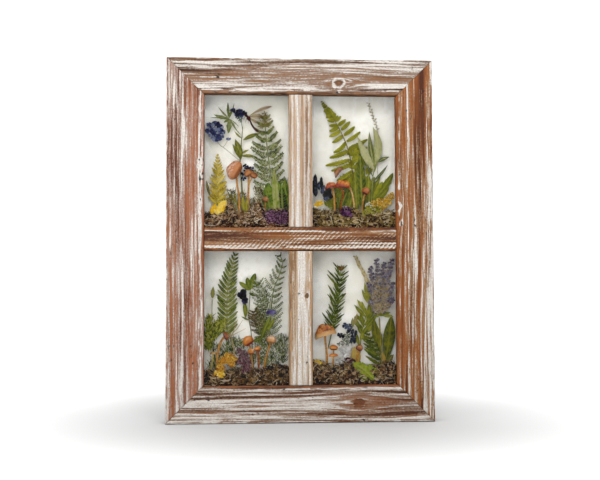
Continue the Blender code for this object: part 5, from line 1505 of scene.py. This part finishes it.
class PANEL_OT_mushrooms(bpy.types.Operator):
    """Makes the dried mushrooms"""
    bl_idname = "botanical_panel.mushrooms"
    bl_label = "Mushrooms"

    ORANGE = "762e08 c86a1e e8a454"
    BROWN = "5c301a 965c38 c4926c"
    TAN = "743e1c b0743e dcac74"

    def cap(self, name, pane, bodies, top, rim, gills, slot, *nodes, stalk=TAN, spots=None):
        """One piece of one or more mushrooms that share their colours."""
        skin = cap_skin(name + "_skin", top, rim, gills, spots)
        stalks = leaf_skin(name + "_stalk", stalk, mottle=600)
        parts = [part for k, body in enumerate(bodies) for part in mushroom(500 + 11 * k, *body)]
        plant_piece(pane + "_" + name, parts, [skin, stalks], slot, *nodes)

    def execute(self, context):
        self.cap("large_cap", "ul", [(xz(35.9, 8, 36.8, 29.5, 34.6, 46), 1.2, (31.2, 62), 10.6, 14.5, 152,
            3.6, ROUND_ROWS, 0.08)], "86482c ba7450 e4b8a0", "ba7048", "965838", "mushroom",
            "ul_large_mushroom", spots="deb298")
        self.cap("slender_caps", "ul", [(xz(45, 8, 46.4, 36), 1.15, (46.2, 58.6), 4.6, 7.6, 118, 2.6),
            (xz(46.6, 44, 48.4, 50), 0.7, (52, 56.4), 4.4, 6.6, 60, 2.2)], self.BROWN, "a66a42", "78462a",
            "mushroom", "ul_slender_mushroom")
        self.cap("button", "ul", [(xz(64, 10, 64.4, 20), 0.8, (64.8, 30.6), 3.5, 5.6, 80, 1.75)],
            self.BROWN, "966440", "6e462c", "mushroom")
        self.cap("tuft", "ur", [(xz(25.4, 8, 24.6, 24.6, 23.6, 38), 1.2, (20.2, 45.6), 6.8, 6.6, 108, 2.8,
            CAP_ROWS, 0.16), (xz(47, 8, 45, 30, 41.4, 42.5), 1, (34.2, 47.2), 7.4, 8.4, 78, 3.2, CAP_ROWS,
            0.16), (xz(29.5, 8, 31.5, 25.5, 34, 38), 1, (29, 45.4), 5.4, 5.6, 92, 2.4, CAP_ROWS, 0.14)],
            self.ORANGE, "80340c", "2e1208", "mushroom", "ur_mushroom_tuft", spots="8a3408")
        self.cap("round_cap", "ur", [(xz(54, 8, 55, 26), 1, (58.4, 39.8), 4.3, 8, 66, 3)],
            "7e3c22 b46842 d89c78", "a05a36", "60301e", "mushroom", "ur_round_mushroom")
        self.cap("curled_pale_cap", "ur", [(xz(26, 55, 26.4, 56.6), 0.8, (28.6, 60.6), 6.6, 6.2, 140, 1.8,
            CAP_ROWS, 0.2)], "643c22 94623e be8e68", "5c341c", "462616", "pale_mushroom", "ur_curled_cap",
            spots="542e18")
        self.cap("hooked_cap", "ll", [(xz(13.6, 8, 13.6, 26, 15.6, 40, 19.6, 49), 1.35, (23.2, 51.6), 4.4,
            5.6, 24, 2.4, ROUND_ROWS, 0.12)], "542a16 88502e ba845c", "784226", "482414", "mushroom",
            "ll_hooked_mushroom")
        self.cap("small_pale_cap", "ll", [(xz(6.6, 6, 7.8, 20), 1, (9.6, 33.8), 3.5, 3.6, 90, 1.9,
            CAP_ROWS)], "966232 c08e54 dcb27c", "cea268", "8c5a30", "pale_mushroom", "ll_pale_mushroom",
            stalk="887030 b8a054 dcca88")
        self.cap("orange_caps", "ll", [(xz(51.4, 8, 50, 24, 48.4, 38), 1, (46, 46.6), 6, 10, 126, 3.2),
            (xz(52, 8, 50.4, 24), 0.9, (49.4, 35), 3.3, 6, 100, 1.65), (xz(57.6, 8, 57.4, 22), 1.1,
            (56.4, 37.8), 3.2, 5.4, 94, 1.6)], "964618 d07638 eeb280", "ba642a", "783a16", "mushroom",
            "ll_orange_tuft")
        self.cap("peach_cap", "ll", [(xz(61.6, 8, 64.6, 26, 68.6, 40), 1.1, (71.2, 47.8), 5.2, 8, 78, 3)],
            "c48254 e6b086 fadcbe", "ce8654", "aa6c42", "pale_mushroom", "ll_peach_mushroom")
        self.cap("mottled_cap", "lr", [(xz(15.6, 8, 15.6, 30, 14.2, 46), 1.25, (13.4, 56.4), 11.6, 14.5,
            107, 3.6, CAP_ROWS, 0.1)], "823214 c26a34 e6a46c", "e2a468", "a05a32", "mushroom",
            "lr_large_mushroom", spots="4e180c")
        self.cap("brown_caps", "lr", [(xz(47.4, 8, 48.2, 28), 1.1, (50.8, 38.2), 3.6, 7, 60, 1.8)],
            self.BROWN, "824c2e", "603622", "mushroom", "lr_round_mushroom")
        self.cap("orange_pair", "lr", [(xz(22.1, 10, 22.6, 24), 0.8, (23, 38.8), 4.6, 5.6, 88, 2.3),
            (xz(20, 10, 21.4, 20), 0.8, (22.6, 30.6), 5, 3.8, 94, 2.5, CAP_ROWS)], self.ORANGE, "c88240",
            "6e3818", "mushroom")
        return {"FINISHED"}


class PANEL_OT_flowers(bpy.types.Operator):
    """Makes the flower heads and loose petals"""
    bl_idname = "botanical_panel.flowers"
    bl_label = "Flowers"

    def execute(self, context):
        self.upper_left()
        self.upper_right()
        self.lower_left()
        self.lower_right()
        return {"FINISHED"}

    def upper_left(self):
        heads = xz(5.6, 109.6, 11, 111, 9.9, 104.6, 16, 107.4, 13, 101.6, 17.6, 102.4, 12, 96.4, 5.2,
            103.4, 8.6, 99, 16.4, 97.4)
        parts = [petals(heads, 5, 5, LAYER[0] - 1, 601, blunt=0.5, width=0.95),
            petals([(24.8, 95)], 3, 5, LAYER[0] - 0.8, 602, width=0.95), petals(xz(14.5, 103, 9, 107.5,
            18.4, 100.5), 3.6, 2, LAYER[0] - 2.8, 603, material=2), stem(xz(12, 98, 14.7, 90.3, 22.6, 83.9,
            29, 78.6, 37.5, 71.5), 0.8, 0.6, LAYER[0], material=1), stem(xz(24.8, 94, 19.5, 86.6, 14.7,
            90), 0.6, 0.6, LAYER[0], material=1)]
        navy = leaf_skin("larkspur_petal", "222042 484c70 8a92ac", roughness=0.3, foot="24203e",
            spread=1.1)
        stalks = leaf_skin("larkspur_stalk", "747654 9e9a74 bcb692")
        heart = leaf_skin("larkspur_heart", "606888 8890a6 aab0be")
        plant_piece("ul_larkspur_florets", parts, [navy, stalks, heart], "blue_petal", "ul_larkspur")

        florets = xz(30, 126, 33.3, 123.4, 36, 125.2, 39.6, 124.2, 41.8, 122.6, 34.4, 120.8, 38.4, 121.4)
        parts = [petals(florets, 3.3, 5, STEM_DEPTH - 0.2, 611, width=0.9),
            petals(xz(36.4, 117, 39, 118.6, 34.6, 117.6, 37.6, 114.6), 2.6, 3, STEM_DEPTH, 613,
            material=1), stem(xz(38.5, 120, 39.6, 109, 40.2, 104), 0.9, 0.7, STEM_DEPTH, material=1)]
        skin = leaf_skin("dark_blossom", "0e0e18 20203a 4a4e74", roughness=0.35)
        calyx = leaf_skin("blossom_calyx", "3c483e 627062 8c968c")
        plant_piece("ul_dark_petals", parts, [skin, calyx], "blue_petal", "ul_dark_blossom")
        loose = [petals(xz(43.6, 66, 46.8, 63.6, 41.6, 57.6, 40.6, 52.6, 49.4, 62.6, 44.6, 62), 3.8, 4,
            9.4, 615, width=0.8)]
        plant_piece("ul_loose_dark_petals", loose, [skin], "blue_petal")

        heads = xz(65, 13, 70, 15, 76, 13, 81, 15, 86, 11.6, 69, 9, 79, 7.4, 85.4, 15.6, 74, 9.4, 84, 8.6)
        parts = [flower_heads(heads, 3.6, 17, 2.2, 621, 2.7, scatter=0.8),
            litter(xz(60, 20, 88, 20), 623, 60, (4, 9), (0.35, 0.6))]
        parts[1]["points"][:, 0] = 61 + parts[1]["points"][:, 0] * 0.3
        violet = leaf_skin("statice_petal", "220e1e 4e2844 96708a", spread=1.2)
        white = leaf_skin("statice_strand", "68544a a08c7e d6ccbc")
        plant_piece("ul_statice_florets", parts, [violet, white], "purple_petal", "ul_statice")
        table = rows(14.6, 15.4, 23, 29, 9, 0.4, 7, 14.6, 11.4, 25.4, 6.6, -0.4, 15.6, 14, 8.8, 20.6, 4,
            0.3, 20, 16, 20.4, 24, 5, 0.3)
        self.yellow("ul", [leaves(*table, 2.8, 12, 8, blunt=0.6, cup=-0.3, thick=0.3, seed=631)])

    def yellow(self, pane, parts):
        """Yellow petals by themselves."""
        plant_piece(pane + "_loose_yellow_flowers", parts, [leaf_skin(pane + "_yellow_petal",
            "c48014 ecb238 fed876")], "golden_petal")

    def upper_right(self):
        heads = xz(63.5, 19.5, 67.5, 22, 71.5, 24.5, 75.5, 27, 79.5, 29.5, 83.5, 32.5, 86.5, 35, 73.5,
            19.5, 67, 27, 77.5, 23.5, 72.5, 29, 82, 27.5)
        skin = leaf_skin("ochre_floret", "8c5c10 cc942e f0c668", spread=1.2)
        parts = [flower_heads(heads, 3, 22, 1.5, 641, 6.6, scatter=1, petals_each=4, width=0.9),
            stem(xz(74, 21, 72, 8), 1.1, 1.1, STEM_DEPTH)]
        plant_piece("ur_yarrow_florets", parts, [skin], "golden_petal", "ur_yarrow")
        table = rows(4.4, 33, 4, 58, 6.2, 0.5, 2.4, 36, 2, 52, 3.4, 0.3, 11.6, 41, 10.4, 55, 4.6, 0.6, 8.4,
            40, 8, 50, 3.4, 0.6, 13, 32, 20.8, 42.4, 8, 0.6, 12.4, 31, 18.6, 31.6, 6, 0.6, 21.8, 31.4,
            16.6, 42, 6, 0.6, 10.8, 36, 13.8, 46, 4.6, 0.6)
        loose = [leaves(*table, 5.6, 12, 8, blunt=0.5, cup=-0.2, lobes=3, notch=0.15, seed=651)]
        plant_piece("ur_loose_dark_petals", loose, [leaf_skin("blue_black_petal", "0c0c14 1e2034 58607a",
            roughness=0.3)], "blue_petal")
        self.yellow("ur", [petals(xz(8.4, 26.4, 5.4, 24.6), 4.4, 6, 2.8, 655, width=0.6)])
        parts = [petals(xz(36.6, 19.2, 38.6, 15.6, 34.4, 16), 6, 6, 2.8, 661, width=0.75),
            petals(xz(34.8, 22.4, 36.4, 19.4), 2.6, 5, 1.9, 665, width=0.3, material=1)]
        violet = leaf_skin("violet_petal", "261222 4c2c48 7e5c7c")
        pale = leaf_skin("violet_centre", "8c706e c4b2ac e8ded6")
        plant_piece("ur_loose_violet_flower", parts, [violet, pale], "purple_petal")

    def lower_left(self):
        heads = xz(20.5, 29, 24, 31, 28, 30, 31, 27, 26, 26, 22, 24.5, 18, 25, 16, 20, 15.6, 15, 19.4, 18,
            29, 22.6)
        skin = leaf_skin("gold_floret", "8c4e0c ce8a22 f4c25a", spread=1.2)
        parts = [flower_heads(heads, 2.8, 20, 1.5, 671, 3, scatter=1, petals_each=4, width=0.9)]
        plant_piece("ll_yarrow_florets", parts, [skin], "golden_petal", "ll_yarrow")
        self.yellow("ll", [petals(xz(14, 13, 18, 11.6), 4.4, 5, 2.6, 675, width=0.8)])
        heads = xz(37, 36, 38, 31, 42.5, 33, 44, 28, 40, 26.5, 46, 24, 41.5, 21, 46, 18.5, 42.6, 15.5, 37,
            25.5)
        parts = [flower_heads(heads, 3.2, 13, 1.9, 681, 3, scatter=1, width=0.55)]
        plant_piece("ll_purple_florets", parts, [leaf_skin("purple_floret", "341a20 623e44 a08286",
            spread=1.2)], "purple_petal", "ll_purple_flower")
        table = rows(65.6, 76.6, 77, 75.6, 5.6, 0.4, 66, 74, 71, 78.6, 4, 0.4, 71.6, 73, 75.6, 79, 3.6,
            0.4)
        plant_piece("ll_loose_violet_petal", [leaves(*table, LAYER[0] - 1.2, 10, 8, blunt=0.6, seed=685)],
            [leaf_skin("violet_spot", "282242 4c466c 7a7698")], "purple_petal")

    def lower_right(self):
        heads = xz(35.6, 62, 40, 60.8, 41.6, 56.6, 45, 54.6, 44.6, 49.6, 30.6, 51.6, 43.4, 45.6)
        parts = [petals(heads, 4.2, 4, STEM_DEPTH - 1, 691, width=0.95), stem(xz(38, 50, 35, 30, 34, 8), 1,
            0.9, STEM_DEPTH), petals(xz(37, 47.6, 33.4, 46, 39, 43.6, 35.6, 42.6, 30.4, 42.6, 37.6, 52),
            4.4, 5, 7.6, 693, width=0.45, material=1), petals(xz(34, 36, 36.4, 32.6, 33.6, 31, 29.4, 24.6,
            31.6, 21.6, 38.6, 39.6, 32, 37, 36.6, 36.4), 4.8, 5, 6.6, 695, width=0.8, material=2)]
        navy = leaf_skin("ink_petal", "0e1018 222838 545e70", roughness=0.35)
        silver = leaf_skin("silver_bract", "484e42 808274 c4c4b8")
        white = leaf_skin("white_bract", "9c9894 d2cec8 fcfaf6")
        plant_piece("lr_dark_petals", parts, [navy, silver, white], "blue_petal", "lr_dark_flower")
        self.yellow("lr", [petals(xz(5, 25, 7.4, 23), 3.2, 6, 2.8, 697, width=0.6)])
        self.lavender()

    def lavender(self):
        neck = (72, 72)
        ends = (((62.8, 123), 4.9), ((69.6, 132), 5.1), ((77.4, 127.5), 5.2), ((86, 132), 5.2),
            ((83, 118), 5), ((61, 106), 4.6), ((87, 106), 4.8), ((63, 88), 4.2), ((86.6, 90), 4.4))
        parts = [stem([neck, (73.5, 41.2), (75, 6.3)], 1.6, 1.4, STEM_DEPTH - 0.4, material=2),
            leaves([neck, neck, (76, 72)], xz(65.6, 73.4, 84.4, 75.6, 87.6, 71), (3.6, 4.6, 4.4), 0.6,
            STEM_DEPTH - 0.8, 14, lobes=3, notch=0.2, material=4)]
        for k, (tip, reach) in enumerate(ends):
            parts.append(stem([neck, tip], 1.3, 0.8, STEM_DEPTH - 0.4, material=2))
            feet, heading = along_spine([neck, tip], np.repeat(np.linspace(0.16, 0.97, 14), 7))
            angle = heading + draws(700 + k, len(feet), low=-1.2, high=1.2)
            size = 0.78 * reach * draws(710 + k, len(feet), low=0.7, high=1.1)
            ends_at = feet + size[:, None] * compass(angle)
            ends_at[:, 0] = np.minimum(ends_at[:, 0], 88.4)
            depth = STEM_DEPTH - 0.6 + 1.1 * draws(720 + k, len(feet), low=-1)
            parts.append(leaves(feet, ends_at, 1.8, 0.2, depth, 6, 6, 0.55, 0.5, thick=0.45, seed=730 + k))
            bloom = feet + 0.6 * (ends_at - feet)
            parts.append(petals(bloom[::3], 2.2, 4, STEM_DEPTH - 2, 740 + k, width=0.7, material=1))
            parts.append(petals(bloom[1:60:5], 2.6, 4, STEM_DEPTH - 2.2, 750 + k, width=0.5, material=3))
        bud = leaf_skin("lavender_bud", "322428 685654 a29080", spread=1.1)
        flower = leaf_skin("lavender_flower", "3c364c 6c6674 aca6ac")
        green = leaf_skin("lavender_stalk", "5c582a 7c743e 9e925c")
        calyx = leaf_skin("lavender_calyx", "6e5832 9e8654 d2be8e")
        wing = leaf_skin("lavender_leaf", "545c1a 767c30 a0a05c", veins=6)
        plant_piece("lr_lavender_buds", parts, [bud, flower, green, calyx, wing], "purple_petal",
            "lr_lavender")


class PANEL_OT_insect(bpy.types.Operator):
    """Makes the winged insect"""
    bl_idname = "botanical_panel.insect"
    bl_label = "Winged insect"

    def execute(self, context):
        depth = 6.2
        line = xz(42.2, 121.2, 45, 119.5, 48.1, 114.8, 50.3, 109.9, 53.5, 105.6, 57.7, 102.4)
        share = np.linspace(0, 1, 44)
        flat = curve_points(line, share)
        half = np.interp(share, (0, 0.04, 0.1, 0.15, 0.22, 0.28, 0.38, 0.6, 0.8, 0.93, 1),
            (0.4, 1.4, 1.5, 1, 2.3, 2, 0.8, 0.9, 1.1, 1.5, 0.3))
        half = half * (1 + 0.1 * np.cos(2 * math.pi * 24 * share) * ramp(share, 0.4, 0.5))
        path = in_pane(flat, depth)[None]
        body = tubes(path, in_plane_side(path), half[None], 0.75 * half[None], 14, tone=0.3)
        root = (45.6, 118.6)
        wings = leaves([root] * 3, xz(71.8, 130.4, 60.4, 119, 56, 112), (3.6, 5.4, 3.6), (1.6, 0.8, 0.2),
            depth + 0.1, 26, 8, fullest=0.66, blunt=0.7, thick=0.09, material=1, tone=(0.4, 0.8, 0.9))
        legs = [stem([root, knee, foot], 0.5, 0.3, depth, steps=14, tone=0.1) for knee,
            foot in (((43, 118.6), (41.2, 115.4)), ((44.2, 116.2), (43.4, 112.4)),
            ((46.6, 115.4), (46, 111.4)))]
        legs.append(stem(xz(42.4, 121.2, 40.6, 122.8, 39.6, 121.8), 0.35, 0.25, depth, tone=0.1))
        plant_piece("ul_insect_body", [body, wings, *legs], [leaf_skin("insect_body",
            "261810 4a3222 74563c", roughness=0.3, mottle=900), wing_skin()], "insect", "ul_winged_insect")
        return {"FINISHED"}


class PANEL_OT_stage(bpy.types.Operator):
    """Sets the floor, the white world, the lights and the camera"""
    bl_idname = "botanical_panel.stage"
    bl_label = "Stage"

    def execute(self, context):
        white_floor()
        white_world()
        soft_light("key", (0.02, -0.88, 1.08), (0, 0, 0.12), 0.5, settings().key_power)
        soft_light("fill", (-0.75, -0.9, 0.32), (0, 0, 0.1), 0.6, settings().fill_power)
        photo_camera()
        context.scene.view_settings.view_transform = "Standard"
        context.scene.view_settings.exposure = 0
        return {"FINISHED"}


class PANEL_PT_steps(bpy.types.Panel):
    """Lists the panel's steps in the sidebar"""
    bl_idname = "PANEL_PT_steps"
    bl_label = "Botanical panel"
    bl_space_type = "VIEW_3D"
    bl_region_type = "UI"
    bl_category = "Botanical Panel"

    def draw(self, context):
        for name in BotanicalPanelSettings.__annotations__:
            self.layout.prop(settings(), name)
        for step in STEPS:
            self.layout.operator(step.bl_idname)


STEPS = (PANEL_OT_wood, PANEL_OT_backing, PANEL_OT_castings, PANEL_OT_moss, PANEL_OT_ferns,
    PANEL_OT_sprays, PANEL_OT_leaves, PANEL_OT_grasses, PANEL_OT_mushrooms, PANEL_OT_flowers,
    PANEL_OT_insect, PANEL_OT_stage)
CLASSES = (BotanicalPanelSettings, *STEPS, PANEL_PT_steps)


def register():
    for item in CLASSES:
        bpy.utils.register_class(item)
    bpy.types.Scene.botanical_panel = bpy.props.PointerProperty(type=BotanicalPanelSettings)


def unregister():
    del bpy.types.Scene.botanical_panel
    for item in reversed(CLASSES):
        bpy.utils.unregister_class(item)


def main():
    register()
    for step in STEPS:
        group, operator = step.bl_idname.split(".")
        getattr(getattr(bpy.ops, group), operator)()


if __name__ == "__main__":
    main()
